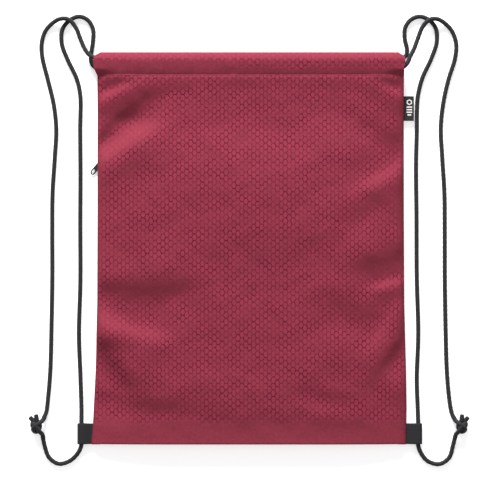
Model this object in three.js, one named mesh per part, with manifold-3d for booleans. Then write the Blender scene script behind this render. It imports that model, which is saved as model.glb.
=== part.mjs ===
// Drawstring backpack, lying empty on its back.
// Millimetres. +X runs across the bag, +Y towards its mouth, +Z up out of the front panel.
// The origin is on the surface that the bag lies on, under the middle of its box.
import * as THREE from "three";
import { mergeVertices } from "three/addons/utils/BufferGeometryUtils.js";
import Module from "manifold-3d";

// ---- driving dimensions ----
const BAG_HEIGHT = 420;
const CHANNEL_DEPTH = 25.7;          // hem that holds the drawcords, along Y
const CHANNEL_HALF_LENGTH = 156.5;
const CHANNEL_WALL = 0.5;
const CLOTH = 1.2;                   // thickness given to a fabric panel
const GAP = 0.3;                     // room left between pieces that touch
const CORD_DIAMETER = 4.5;
const CORD_SIDES = 8;
const MOUTH_GAP = 4.5;               // slack between the front and the back hem

const SEAM_Z = 4.4;                  // height of the side and bottom seams
const MOUTH_SEAM_Z = 8.3;            // the side seams climb to here under the hems
const ZIP_SEAM_Z = 7.3;              // and to here over the zip
const EDGE_RISE = 5;                 // quick rounding of the cloth at a seam
const EDGE_REACH = 10;
const DOME_RISE = 8;                 // slow swell of the front panel
const MOUTH_DOME_RISE = 2.2;
const DOME_REACH = 90;

const WEBBING = 1.2;
const TAB_WIDTH = 22.2;              // webbing width, along Y
const TAB_REACH = 185;               // the webbing loops end here on each side
const TAB_CORD_X = 180.6;
const TAB_CORD_Z = 3.9;

const LABEL_LENGTH = 26.4;
const LABEL_WIDTH = 10.8;
const LABEL_THICKNESS = 0.9;
const LABEL_TOP_Y = 163;

const ZIP_X = -156;                  // centre line of the zip chain
const ZIP_TOP_Y = 104;
const ZIP_BOTTOM_Y = -64;
const ZIP_TAPE_END = 15;             // tape beyond the chain at each end
const ZIP_HALF_SLOT = 0.7;           // half of the slot that the slider's post runs in
const TAPE_Z = 5.1;
const TAPE_THICKNESS = 0.5;
const COIL_Z = 3.5;
const COIL_WIDTH = 1.6;
const COIL_HEIGHT = 1.3;
const STOP_LENGTH = 3;
const SLIDER_LENGTH = 8.6;
const SLIDER_HALF_WIDTH = 3.6;
const PLATE = 0.8;                   // thickness of the slider's two plates
const PULL_LENGTH = 22;
const PULL_HALF_WIDTH = 2.7;
const PULL_THICKNESS = 1;
const PULL_REST_DEGREES = 40;        // the pull lies turned out from the bag's edge

const KNOT_SIZE = [13.2, 15, 12];

// ---- places that follow from them ----
const TOP = BAG_HEIGHT / 2;
const BOTTOM = -TOP;
const CHANNEL_Y = TOP - CHANNEL_DEPTH;
const CORD_RADIUS = CORD_DIAMETER / 2;
const CHANNEL_HEIGHT = CORD_DIAMETER + 2 * GAP + 2 * CHANNEL_WALL;
const FRONT_CHANNEL_Z = CHANNEL_HEIGHT + MOUTH_GAP;
const FRONT_CORD_Z = FRONT_CHANNEL_Z + CHANNEL_HEIGHT / 2;
const BACK_CORD_Z = CHANNEL_HEIGHT / 2;
const UPPER_CORD_Y = 203;
const LOWER_CORD_Y = 192.5;
const FLOOR_Z = CORD_RADIUS + 0.15;  // centre of a cord that lies on the surface
const OVER_Z = FLOOR_Z + CORD_DIAMETER + 0.6;
const ZIP_WINDOW = { low: ZIP_BOTTOM_Y - 28, high: ZIP_TOP_Y + 18 };
const SLIDER_TOP_Y = ZIP_TOP_Y - STOP_LENGTH - GAP;
const SLIDER_Y = SLIDER_TOP_Y - SLIDER_LENGTH / 2;

// The bag's side edges, as [y, left x, right x].
const OUTLINE = [
  [TOP, -163, 165],
  [40, -163, 165.2],
  [-60, -163.4, 165.7],
  [-130, -165.2, 167.6],
  [-170, -167.2, 168.2],
  [BOTTOM, -169.3, 167.4],
];

const material = (color, roughness, metalness = 0) =>
  new THREE.MeshStandardMaterial({ color, roughness, metalness });
const FABRIC = material(0x8a3644, 0.75);
const LINING = material(0x6d2a36, 0.8);
const CORD = material(0x3a3a3b, 0.85);
const WEBBING_GREY = material(0x3a383e, 0.8);
const ZIP_BLACK = material(0x1d1d1f, 0.7);
const ZIP_METAL = material(0x2b2b2d, 0.4, 0.6);
const LABEL_CLOTH = material(0x2e2c2f, 0.8);

const bag = new THREE.Group();
const wasm = await Module();
wasm.setup();

function addPiece(name, geometry, finish) {
  const mesh = new THREE.Mesh(geometry, finish);
  mesh.name = name;
  bag.add(mesh);
}

// ---- closed meshes, booleans and prisms ----
function positionsOnly(geometry) {
  const plain = geometry.clone();
  plain.deleteAttribute("normal");
  plain.deleteAttribute("uv");
  return mergeVertices(plain, 1e-4);
}

function toSolid(geometry) {
  const merged = positionsOnly(geometry);
  return new wasm.Manifold(new wasm.Mesh({
    numProp: 3,
    vertProperties: new Float32Array(merged.attributes.position.array),
    triVerts: new Uint32Array(merged.index.array),
  }));
}

function toGeometry(solid) {
  const mesh = solid.getMesh();
  const geometry = new THREE.BufferGeometry();
  geometry.setAttribute("position", new THREE.BufferAttribute(new Float32Array(mesh.vertProperties), 3));
  geometry.setIndex(new THREE.BufferAttribute(new Uint32Array(mesh.triVerts), 1));
  geometry.computeVertexNormals();
  return geometry;
}

const joined = (geometries) => toGeometry(geometries.map(toSolid).reduce((whole, piece) => whole.add(piece)));
const cut = (geometry, tool) => toGeometry(toSolid(geometry).subtract(toSolid(tool)));

function block(low, high) {
  const size = high.map((value, i) => value - low[i]);
  const middle = high.map((value, i) => (value + low[i]) / 2);
  return new THREE.BoxGeometry(...size).translate(...middle);
}

const extruded = (shape, depth, curveSegments = 8) =>
  new THREE.ExtrudeGeometry(shape, { depth, bevelEnabled: false, curveSegments });

// A section drawn in X and Z, run along Y.
function prismAlongY(shape, lowY, highY) {
  const basis = new THREE.Matrix4().makeBasis(
    new THREE.Vector3(1, 0, 0), new THREE.Vector3(0, 0, 1), new THREE.Vector3(0, -1, 0));
  return extruded(shape, highY - lowY).applyMatrix4(basis).translate(0, highY, 0);
}

// A section drawn in Y and Z, run along X.
function prismAlongX(shape, lowX, highX) {
  const basis = new THREE.Matrix4().makeBasis(
    new THREE.Vector3(0, 1, 0), new THREE.Vector3(0, 0, 1), new THREE.Vector3(1, 0, 0));
  return extruded(shape, highX - lowX).applyMatrix4(basis).translate(lowX, 0, 0);
}

const polygon = (points) => new THREE.Shape(points.map(([x, y]) => new THREE.Vector2(x, y)));

// A strip of even thickness whose underside follows the given points.
function bentStrip(points, thickness) {
  const above = points.map(([x, z]) => [x, z + thickness]).reverse();
  return polygon([...points, ...above]);
}

// ---- the fabric panels ----
const mix = (a, b, t) => a + (b - a) * t;
const rise = (distance, reach) => 1 - (1 - THREE.MathUtils.clamp(distance / reach, 0, 1)) ** 2;

function edgeAt(y, column) {
  const row = OUTLINE.findIndex(([rowY], i) => i > 0 && rowY <= y + 1e-6);
  const [above, below] = [OUTLINE[row - 1], OUTLINE[row]];
  return mix(above[column], below[column], (above[0] - y) / (above[0] - below[0]));
}
const leftEdge = (y) => edgeAt(y, 1);
const rightEdge = (y) => edgeAt(y, 2);

function seamHeight(x, y) {
  const towardMouth = THREE.MathUtils.smoothstep(y, 125, CHANNEL_Y);
  const alongZip = Math.min(
    THREE.MathUtils.smoothstep(y, ZIP_WINDOW.low - 20, ZIP_WINDOW.low),
    1 - THREE.MathUtils.smoothstep(y, ZIP_WINDOW.high, ZIP_WINDOW.high + 20));
  const towardZip = 1 - THREE.MathUtils.smoothstep(x, leftEdge(y) + 15, leftEdge(y) + 60);
  return mix(SEAM_Z, MOUTH_SEAM_Z, towardMouth) + (ZIP_SEAM_Z - SEAM_Z) * alongZip * towardZip;
}

const sideDistance = (x, y) => Math.min(x - leftEdge(y), rightEdge(y) - x);

function frontUnderside(x, y) {
  const side = sideDistance(x, y);
  const bottom = y - BOTTOM;
  const dome = mix(DOME_RISE, MOUTH_DOME_RISE, THREE.MathUtils.smoothstep(y, 90, CHANNEL_Y));
  return seamHeight(x, y)
    + EDGE_RISE * rise(Math.min(side, bottom), EDGE_REACH)
    + dome * rise(side, DOME_REACH) * rise(bottom, DOME_REACH);
}

function backUnderside(x, y) {
  const edge = Math.min(sideDistance(x, y), y - BOTTOM);
  return (seamHeight(x, y) - GAP - CLOTH) * (1 - rise(edge, EDGE_REACH));
}

// A panel is a grid with its columns gathered towards the two side edges,
// and its rows towards the bottom edge.
function panel(underside, columns, rows) {
  const geometry = new THREE.BoxGeometry(1, 1, 1, columns, rows, 1);
  const position = geometry.attributes.position;
  for (let i = 0; i < position.count; i += 1) {
    const across = Math.sin(position.getX(i) * Math.PI);
    const up = 1 - Math.cos((position.getY(i) + 0.5) * Math.PI / 2);
    const y = mix(BOTTOM, CHANNEL_Y - GAP, up);
    const x = mix(leftEdge(y), rightEdge(y), (across + 1) / 2);
    position.setXYZ(i, x, y, underside(x, y) + (position.getZ(i) + 0.5) * CLOTH);
  }
  return geometry;
}

addPiece("front_panel", panel(frontUnderside, 20, 16), FABRIC);

const zipWindow = block([-180, ZIP_WINDOW.low, -1], [ZIP_X + 15, ZIP_WINDOW.high, 20]);
addPiece("back_panel", cut(panel(backUnderside, 20, 16), zipWindow), FABRIC);

// ---- seam allowances: both layers overlocked together and turned to the inside ----
const SEAM_WIDTH = 8;
const SEAM_INSET = 2.5;
const SEAM_THICKNESS = 1;

function sideSeam(name, edge, inward, lowY, highY) {
  const geometry = new THREE.BoxGeometry(1, 1, 1, 1, 8, 1);
  const position = geometry.attributes.position;
  for (let i = 0; i < position.count; i += 1) {
    const y = mix(lowY, highY, position.getY(i) + 0.5);
    const across = SEAM_INSET + (position.getX(i) * inward + 0.5) * SEAM_WIDTH;
    const z = seamHeight(edge(y), y) - GAP / 2 + position.getZ(i) * SEAM_THICKNESS;
    position.setXYZ(i, edge(y) + inward * across, y, z);
  }
  addPiece(name, geometry, LINING);
}

sideSeam("left_seam_upper", leftEdge, 1, ZIP_WINDOW.high + 4, CHANNEL_Y - 2);
sideSeam("left_seam_lower", leftEdge, 1, BOTTOM + 12, ZIP_WINDOW.low - 4);
sideSeam("right_seam", rightEdge, -1, BOTTOM + 12, CHANNEL_Y - 2);
addPiece("bottom_seam", block(
  [-154, BOTTOM + SEAM_INSET, SEAM_Z - GAP / 2 - SEAM_THICKNESS / 2],
  [153, BOTTOM + SEAM_INSET + SEAM_WIDTH, SEAM_Z - GAP / 2 + SEAM_THICKNESS / 2]), LINING);

// ---- the hems that carry the drawcords ----
function channel(name, lowZ) {
  const half = CHANNEL_HEIGHT / 2;
  const middle = lowZ + half;
  const section = new THREE.Shape();
  section.moveTo(CHANNEL_Y, lowZ);
  section.lineTo(TOP - half, lowZ);
  section.absarc(TOP - half, middle, half, -Math.PI / 2, Math.PI / 2, false);
  section.lineTo(CHANNEL_Y, lowZ + CHANNEL_HEIGHT);
  section.closePath();
  const inside = new THREE.Path();
  inside.moveTo(CHANNEL_Y + 1.5, lowZ + CHANNEL_WALL);
  inside.lineTo(TOP - half, lowZ + CHANNEL_WALL);
  inside.absarc(TOP - half, middle, half - CHANNEL_WALL, -Math.PI / 2, Math.PI / 2, false);
  inside.lineTo(CHANNEL_Y + 1.5, lowZ + CHANNEL_HEIGHT - CHANNEL_WALL);
  inside.closePath();
  section.holes.push(inside);
  addPiece(name, prismAlongX(section, -CHANNEL_HALF_LENGTH, CHANNEL_HALF_LENGTH), FABRIC);
}

channel("front_channel", FRONT_CHANNEL_Z);
channel("back_channel", 0);

// ---- webbing loops at the two bottom corners ----
// Drawn on the right, and turned half a circle about Z for the left.
function cornerTab(name, turn, rootX) {
  const bore = CORD_RADIUS + GAP;
  const outer = bore + WEBBING;
  const foldX = TAB_REACH - outer;
  const flatX = foldX - 3.8;
  const section = new THREE.Shape();
  section.moveTo(rootX, TAB_CORD_Z - WEBBING);
  section.lineTo(flatX, TAB_CORD_Z - outer);
  section.absarc(foldX, TAB_CORD_Z, outer, -Math.PI / 2, Math.PI / 2, false);
  section.lineTo(flatX, TAB_CORD_Z + outer);
  section.lineTo(rootX, TAB_CORD_Z + WEBBING);
  section.closePath();
  const inside = new THREE.Path();
  inside.moveTo(rootX + 3, TAB_CORD_Z);
  inside.lineTo(flatX, TAB_CORD_Z - bore);
  inside.absarc(foldX, TAB_CORD_Z, bore, -Math.PI / 2, Math.PI / 2, false);
  inside.lineTo(flatX, TAB_CORD_Z + bore);
  inside.closePath();
  section.holes.push(inside);
  const loop = prismAlongY(section, -TAB_WIDTH / 2, TAB_WIDTH / 2).rotateZ(turn);
  addPiece(name, loop.translate(0, BOTTOM + TAB_WIDTH / 2, 0), WEBBING_GREY);
}

cornerTab("left_corner_tab", Math.PI, 169.7);
cornerTab("right_corner_tab", 0, 168.5);

// ---- woven label in the right seam ----
const labelX = rightEdge(LABEL_TOP_Y) + GAP;
addPiece("side_label", block(
  [labelX, LABEL_TOP_Y - LABEL_LENGTH, SEAM_Z - LABEL_THICKNESS],
  [labelX + LABEL_WIDTH, LABEL_TOP_Y, SEAM_Z]), LABEL_CLOTH);

// ---- zip of the side pocket, facing down just inside the left edge ----
const tapeTop = ZIP_TOP_Y + ZIP_TAPE_END;
const tapeBottom = ZIP_BOTTOM_Y - ZIP_TAPE_END;

addPiece("zip_tape_outer", prismAlongY(bentStrip([
  [ZIP_X - 6.6, TAPE_Z],
  [ZIP_X - ZIP_HALF_SLOT, TAPE_Z],
], TAPE_THICKNESS), tapeBottom, tapeTop), ZIP_BLACK);

addPiece("zip_tape_inner", prismAlongY(bentStrip([
  [ZIP_X + ZIP_HALF_SLOT, TAPE_Z],
  [ZIP_X + 6, TAPE_Z],
  [ZIP_X + 13, CLOTH + GAP],
  [ZIP_X + 20, CLOTH + GAP],
], TAPE_THICKNESS), tapeBottom, tapeTop), ZIP_BLACK);

function coil(name, side) {
  const near = ZIP_X + side * ZIP_HALF_SLOT;
  const far = near + side * COIL_WIDTH;
  addPiece(name, block(
    [Math.min(near, far), ZIP_BOTTOM_Y + STOP_LENGTH + GAP, COIL_Z],
    [Math.max(near, far), ZIP_TOP_Y - STOP_LENGTH - GAP, COIL_Z + COIL_HEIGHT]), ZIP_BLACK);
}
coil("zip_coil_outer", -1);
coil("zip_coil_inner", 1);

function topStop(name, side) {
  const near = ZIP_X + side * ZIP_HALF_SLOT;
  const far = near + side * (COIL_WIDTH + 0.4);
  addPiece(name, block(
    [Math.min(near, far), ZIP_TOP_Y - STOP_LENGTH, COIL_Z - 0.2],
    [Math.max(near, far), ZIP_TOP_Y, COIL_Z + COIL_HEIGHT]), ZIP_METAL);
}
topStop("zip_top_stop_outer", -1);
topStop("zip_top_stop_inner", 1);
addPiece("zip_bottom_stop", block(
  [ZIP_X - 2.6, ZIP_BOTTOM_Y, COIL_Z - 0.2],
  [ZIP_X + 2.6, ZIP_BOTTOM_Y + STOP_LENGTH, COIL_Z + COIL_HEIGHT]), ZIP_METAL);

// The slider has a plate on each side of the chain, a post between them in the slot,
// a flange down each side of the outer plate, and a bridge under that plate for the pull.
const OUTER_PLATE_Z = COIL_Z - GAP - PLATE;
const INNER_PLATE_Z = TAPE_Z + TAPE_THICKNESS + GAP;
const BRIDGE_HALF_LENGTH = 2.1;
const BRIDGE_HALF_WIDTH = 0.35;
const BRIDGE_LEG = 0.75;
const BRIDGE_Z = 0.2;
const BRIDGE_THICKNESS = 0.6;

const sliderBlock = (halfWidth, lowY, highY, lowZ, highZ) =>
  block([ZIP_X - halfWidth, lowY, lowZ], [ZIP_X + halfWidth, highY, highZ]);
const sliderLow = SLIDER_Y - SLIDER_LENGTH / 2;

const flange = (side) => block(
  [ZIP_X + Math.min(side * (SLIDER_HALF_WIDTH - 0.8), side * SLIDER_HALF_WIDTH), sliderLow, OUTER_PLATE_Z + 0.2],
  [ZIP_X + Math.max(side * (SLIDER_HALF_WIDTH - 0.8), side * SLIDER_HALF_WIDTH), SLIDER_TOP_Y, TAPE_Z - GAP]);
const leg = (side) => sliderBlock(BRIDGE_HALF_WIDTH,
  SLIDER_Y + Math.min(side * BRIDGE_HALF_LENGTH, side * (BRIDGE_HALF_LENGTH - BRIDGE_LEG)),
  SLIDER_Y + Math.max(side * BRIDGE_HALF_LENGTH, side * (BRIDGE_HALF_LENGTH - BRIDGE_LEG)),
  BRIDGE_Z, OUTER_PLATE_Z + 0.2);

addPiece("zip_slider", joined([
  sliderBlock(SLIDER_HALF_WIDTH, sliderLow, SLIDER_TOP_Y, OUTER_PLATE_Z, OUTER_PLATE_Z + PLATE),
  sliderBlock(SLIDER_HALF_WIDTH, sliderLow, SLIDER_TOP_Y, INNER_PLATE_Z, INNER_PLATE_Z + PLATE),
  sliderBlock(ZIP_HALF_SLOT - GAP, SLIDER_TOP_Y - 3, SLIDER_TOP_Y - 0.4, OUTER_PLATE_Z, INNER_PLATE_Z + PLATE),
  flange(-1),
  flange(1),
  leg(-1),
  leg(1),
  sliderBlock(BRIDGE_HALF_WIDTH, SLIDER_Y - BRIDGE_HALF_LENGTH, SLIDER_Y + BRIDGE_HALF_LENGTH,
    BRIDGE_Z, BRIDGE_Z + BRIDGE_THICKNESS),
]), ZIP_METAL);

// The pull: an eye round the bridge, a neck, and a rounded end with an oval hole.
const PULL_Z = BRIDGE_Z + BRIDGE_THICKNESS + GAP;
const EYE_BAR = 0.4;
const EYE_LENGTH = 3;

function zipPull() {
  const shape = new THREE.Shape();
  shape.moveTo(-PULL_HALF_WIDTH, EYE_BAR);
  shape.lineTo(-PULL_HALF_WIDTH, -(PULL_LENGTH - PULL_HALF_WIDTH));
  shape.absarc(0, -(PULL_LENGTH - PULL_HALF_WIDTH), PULL_HALF_WIDTH, Math.PI, 2 * Math.PI, false);
  shape.lineTo(PULL_HALF_WIDTH, EYE_BAR);
  shape.closePath();
  const eye = new THREE.Path();
  const eyeHalf = PULL_HALF_WIDTH - 0.7;
  eye.moveTo(-eyeHalf, -EYE_BAR);
  eye.lineTo(-eyeHalf, -EYE_BAR - EYE_LENGTH);
  eye.lineTo(eyeHalf, -EYE_BAR - EYE_LENGTH);
  eye.lineTo(eyeHalf, -EYE_BAR);
  eye.closePath();
  const hole = new THREE.Path();
  hole.absellipse(0, -(PULL_LENGTH - PULL_HALF_WIDTH - 0.8), 1.4, 2.1, 0, 2 * Math.PI, false, 0);
  shape.holes.push(eye, hole);
  return extruded(shape, PULL_THICKNESS, 6);
}

const pull = new THREE.Group();
pull.position.set(ZIP_X, SLIDER_Y, PULL_Z);
pull.rotation.z = -THREE.MathUtils.degToRad(PULL_REST_DEGREES);
const pullMesh = new THREE.Mesh(zipPull(), ZIP_METAL);
pullMesh.name = "zip_pull";
pull.add(pullMesh);
bag.add(pull);

// ---- pocket lining, lying flat inside on the back panel ----
const LINING_THICKNESS = 0.5;
const LINING_INNER_X = -20;
const POCKET_LOW_Y = -88;
const POCKET_HIGH_Y = 118;

addPiece("pocket_lining_back", prismAlongY(bentStrip([
  [ZIP_X + 13, 2.3],
  [LINING_INNER_X, 2.3],
], LINING_THICKNESS), POCKET_LOW_Y, POCKET_HIGH_Y), LINING);

addPiece("pocket_lining_front", prismAlongY(bentStrip([
  [ZIP_X - 4, INNER_PLATE_Z + PLATE + GAP],
  [ZIP_X + 8, INNER_PLATE_Z + PLATE + GAP],
  [ZIP_X + 20, 3.5],
  [LINING_INNER_X, 3.5],
], LINING_THICKNESS), POCKET_LOW_Y, POCKET_HIGH_Y), LINING);

// ---- drawcords ----
// Each cord leaves the front hem, its outer strand runs to the knot, and its inner strand leaves
// the back hem and reaches the same knot through the webbing loop. Points are x, y, z in order
// from the hem. The outer strand climbs over the inner one at the top of the loop.
const LEFT_OUTER = [
  [-146, UPPER_CORD_Y, FRONT_CORD_Z],
  [-152, UPPER_CORD_Y, FRONT_CORD_Z],
  [-157.6, UPPER_CORD_Y, FRONT_CORD_Z],
  [-163.6, 203.3, 13.5],
  [-168.8, 205, 12.4],
  [-173.4, 208.8, 10.8],
  [-178, 216.4, 8.6],
  [-181.8, 225.5, 7],
  [-186, 235.8, 6.9],
  [-193.6, 244.8, OVER_Z],
  [-202.5, 246, 5.8],
  [-212, 241.2, 3.2],
  [-219.6, 232.5, FLOOR_Z],
  [-223.3, 220, FLOOR_Z],
  [-222.7, 205.5, FLOOR_Z],
  [-216.4, 180, FLOOR_Z],
  [-210.3, 154, FLOOR_Z],
  [-207.7, 128, FLOOR_Z],
  [-209.2, 98, FLOOR_Z],
  [-211.6, 60, FLOOR_Z],
  [-212, 20, FLOOR_Z],
  [-211.9, -30, FLOOR_Z],
  [-212.8, -85, FLOOR_Z],
  [-214, -130, FLOOR_Z],
  [-216.4, -160, FLOOR_Z],
  [-218.4, -176, 3],
  [-221.6, -183.4, 4.6],
];
const LEFT_INNER = [
  [-146, LOWER_CORD_Y, BACK_CORD_Z],
  [-152, LOWER_CORD_Y, BACK_CORD_Z],
  [-157.6, LOWER_CORD_Y, BACK_CORD_Z],
  [-163.8, 193.1, 2.8],
  [-168.4, 196.4, FLOOR_Z],
  [-170.4, 201.6, FLOOR_Z],
  [-170.3, 208, FLOOR_Z],
  [-168.2, 222.5, FLOOR_Z],
  [-168.2, 235.3, FLOOR_Z],
  [-174, 245.1, FLOOR_Z],
  [-183.3, 248.6, FLOOR_Z],
  [-193.6, 244.5, FLOOR_Z],
  [-200.9, 235, FLOOR_Z],
  [-201.8, 220, FLOOR_Z],
  [-195.4, 202.4, FLOOR_Z],
  [-185.6, 181.5, FLOOR_Z],
  [-181.8, 163, FLOOR_Z],
  [-182, 130, FLOOR_Z],
  [-181.7, 80, FLOOR_Z],
  [-181.9, 25, FLOOR_Z],
  [-181.8, -35, FLOOR_Z],
  [-183.3, -92, FLOOR_Z],
  [-181.6, -140, FLOOR_Z],
  [-180.6, -172, 2.9],
  [-TAB_CORD_X, -186, TAB_CORD_Z],
  [-TAB_CORD_X, -199, TAB_CORD_Z],
  [-TAB_CORD_X, -211, TAB_CORD_Z],
  [-184.6, -220, 3],
  [-193.6, -228.4, FLOOR_Z],
  [-205.2, -231.2, FLOOR_Z],
  [-215.2, -224.6, FLOOR_Z],
  [-219.9, -212.4, 2.8],
  [-222.3, -199.8, 4.4],
];
const RIGHT_OUTER = [
  [146, LOWER_CORD_Y, FRONT_CORD_Z],
  [152, LOWER_CORD_Y, FRONT_CORD_Z],
  [157.6, LOWER_CORD_Y, FRONT_CORD_Z],
  [163.6, 193.6, 13.6],
  [168.4, 198, 13.2],
  [171.4, 204.6, 11.8],
  [175.8, 213.4, 9.3],
  [180.4, 225.6, 7.2],
  [185, 236.8, 6.9],
  [192.2, 244.6, OVER_Z],
  [201, 245.6, 5.9],
  [210.4, 240.4, 3.3],
  [217.6, 232, FLOOR_Z],
  [221.5, 219.5, FLOOR_Z],
  [220.2, 203.5, FLOOR_Z],
  [213.4, 181.5, FLOOR_Z],
  [207.9, 157, FLOOR_Z],
  [205, 130, FLOOR_Z],
  [206.5, 98, FLOOR_Z],
  [208.8, 60, FLOOR_Z],
  [209.2, 20, FLOOR_Z],
  [209.3, -35, FLOOR_Z],
  [210.2, -90, FLOOR_Z],
  [211.4, -130, FLOOR_Z],
  [214, -161, FLOOR_Z],
  [216.8, -177, 3],
  [220.2, -184, 4.6],
];
const RIGHT_INNER = [
  [146, UPPER_CORD_Y, BACK_CORD_Z],
  [152, UPPER_CORD_Y, BACK_CORD_Z],
  [157.6, UPPER_CORD_Y, BACK_CORD_Z],
  [163.6, 203.6, 2.7],
  [167.8, 207, FLOOR_Z],
  [168.8, 213.4, FLOOR_Z],
  [166.4, 224.3, FLOOR_Z],
  [166.6, 236, FLOOR_Z],
  [172.6, 245, FLOOR_Z],
  [182.2, 248.6, FLOOR_Z],
  [192.4, 245, FLOOR_Z],
  [199.6, 236, FLOOR_Z],
  [200.6, 221.2, FLOOR_Z],
  [194.7, 203.2, FLOOR_Z],
  [185.2, 182.4, FLOOR_Z],
  [180.4, 163, FLOOR_Z],
  [179.4, 148, FLOOR_Z],
  [179.2, 125, FLOOR_Z],
  [178.4, 90, FLOOR_Z],
  [178.9, 35, FLOOR_Z],
  [179.2, -30, FLOOR_Z],
  [180.8, -92, FLOOR_Z],
  [179.2, -140, FLOOR_Z],
  [180.2, -172, 2.9],
  [TAB_CORD_X, -186, TAB_CORD_Z],
  [TAB_CORD_X, -199, TAB_CORD_Z],
  [TAB_CORD_X, -211, TAB_CORD_Z],
  [184, -220.2, 3],
  [191.4, -228.6, FLOOR_Z],
  [203.4, -231.6, FLOOR_Z],
  [213.8, -224.9, FLOOR_Z],
  [218.2, -211, 2.8],
  [220.8, -199.4, 4.4],
];

function ropeAlong(route, steps) {
  const curve = new THREE.CatmullRomCurve3(route.map((point) => new THREE.Vector3(...point)), false, "centripetal");
  const corners = Array.from({ length: CORD_SIDES }, (_, i) => {
    const angle = (i / CORD_SIDES) * 2 * Math.PI;
    return [CORD_RADIUS * Math.cos(angle), CORD_RADIUS * Math.sin(angle)];
  });
  return new THREE.ExtrudeGeometry(polygon(corners), { steps, extrudePath: curve });
}

// Inside the hems a cord runs out along the front, turns round the far corner, and comes back.
function hemRoute(side, frontY, backY) {
  const turn = (x, share) => [side * x, mix(frontY, backY, share), mix(FRONT_CORD_Z, BACK_CORD_Z, share)];
  return [
    turn(-145.6, 0),
    turn(0, 0),
    turn(146, 0),
    turn(154, 0),
    turn(158.3, 0),
    turn(162.3, 0.17),
    turn(163.9, 0.5),
    turn(162.3, 0.83),
    turn(158.3, 1),
    turn(154, 1),
    turn(146, 1),
    turn(0, 1),
    turn(-145.6, 1),
  ];
}

addPiece("left_cord_outer_strand", ropeAlong(LEFT_OUTER, 56), CORD);
addPiece("left_cord_inner_strand", ropeAlong(LEFT_INNER, 76), CORD);
addPiece("left_cord_in_hem", ropeAlong(hemRoute(1, UPPER_CORD_Y, LOWER_CORD_Y), 76), CORD);
addPiece("right_cord_outer_strand", ropeAlong(RIGHT_OUTER, 56), CORD);
addPiece("right_cord_inner_strand", ropeAlong(RIGHT_INNER, 76), CORD);
addPiece("right_cord_in_hem", ropeAlong(hemRoute(-1, LOWER_CORD_Y, UPPER_CORD_Y), 76), CORD);

// ---- the overhand knot that ties each cord's two strands, with its two cut tails ----
function knot(name, centre, tails) {
  const body = new THREE.SphereGeometry(0.5, 14, 10).scale(...KNOT_SIZE);
  body.translate(centre[0], centre[1], centre[2]);
  const ends = tails.map(([from, to]) => {
    const start = new THREE.Vector3(...from);
    const direction = new THREE.Vector3(...to).sub(start);
    const stub = new THREE.CylinderGeometry(CORD_RADIUS, CORD_RADIUS, direction.length(), CORD_SIDES);
    stub.translate(0, direction.length() / 2, 0);
    stub.applyQuaternion(new THREE.Quaternion().setFromUnitVectors(
      new THREE.Vector3(0, 1, 0), direction.normalize()));
    return stub.translate(start.x, start.y, start.z);
  });
  addPiece(name, joined([body, ...ends]), CORD);
}

const KNOT_Z = KNOT_SIZE[2] / 2 + 0.2;
knot("left_cord_knot", [-228, -191.6, KNOT_Z], [
  [[-229.5, -188, 6.2], [-236, -180.5, 6.6]],
  [[-227.5, -188, 7.4], [-229, -177.6, 7.6]],
]);
knot("right_cord_knot", [226.4, -191.6, KNOT_Z], [
  [[226.2, -188, 7.4], [227.6, -177.6, 7.6]],
  [[228, -188, 6.2], [234.6, -180.6, 6.6]],
]);

export default bag;
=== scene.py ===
import math

import bpy
import numpy as np
from bpy.props import FloatProperty, FloatVectorProperty, PointerProperty
from bpy.types import Operator, Panel, PropertyGroup
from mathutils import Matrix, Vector
from mathutils.bvhtree import BVHTree


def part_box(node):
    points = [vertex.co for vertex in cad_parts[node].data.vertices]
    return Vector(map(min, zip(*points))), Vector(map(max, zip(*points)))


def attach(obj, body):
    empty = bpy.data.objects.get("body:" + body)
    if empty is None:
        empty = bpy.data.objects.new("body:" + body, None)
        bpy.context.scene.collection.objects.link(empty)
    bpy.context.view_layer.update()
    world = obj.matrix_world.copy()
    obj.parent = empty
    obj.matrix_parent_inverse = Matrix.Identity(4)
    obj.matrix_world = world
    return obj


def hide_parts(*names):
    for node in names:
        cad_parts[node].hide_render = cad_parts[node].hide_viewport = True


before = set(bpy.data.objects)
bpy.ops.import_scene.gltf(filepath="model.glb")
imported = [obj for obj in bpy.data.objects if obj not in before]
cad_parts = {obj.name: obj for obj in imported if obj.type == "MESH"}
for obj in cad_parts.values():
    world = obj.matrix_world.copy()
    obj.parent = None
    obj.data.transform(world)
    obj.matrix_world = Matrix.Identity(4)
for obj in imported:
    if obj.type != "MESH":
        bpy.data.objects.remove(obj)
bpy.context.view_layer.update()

bl_info = {
    "name": "Drawstring backpack",
    "version": (1, 0, 0),
    "blender": (4, 5, 0),
    "location": "3D View > Sidebar > Drawstring bag",
    "description": "Builds an empty drawstring backpack lying on its back, piece by piece",
    "category": "Add Mesh",
}

# Shapes are worked out in millimetres, and turned to metres as a mesh is made.
MM = 0.001


def box_mm(node):
    """The lowest and highest corner of a solid, in millimetres."""
    low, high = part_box(node)
    return np.array(low) / MM, np.array(high) / MM


def linear(hex_colour):
    """The linear colour of an sRGB hex value."""
    channels = [int(hex_colour[i:i + 2], 16) / 255 for i in (0, 2, 4)]
    return tuple(c / 12.92 if c <= 0.04045 else ((c + 0.055) / 1.055) ** 2.4 for c in channels)


# ---- what a user would change ----
def size_property(name, description, millimetres):
    return FloatProperty(name=name, description=description, default=millimetres * MM, min=0,
                         unit="LENGTH", precision=5)


def colour_property(name, description, hex_colour):
    return FloatVectorProperty(name=name, description=description, subtype="COLOR", size=3,
                               min=0, max=1, default=linear(hex_colour))


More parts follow.
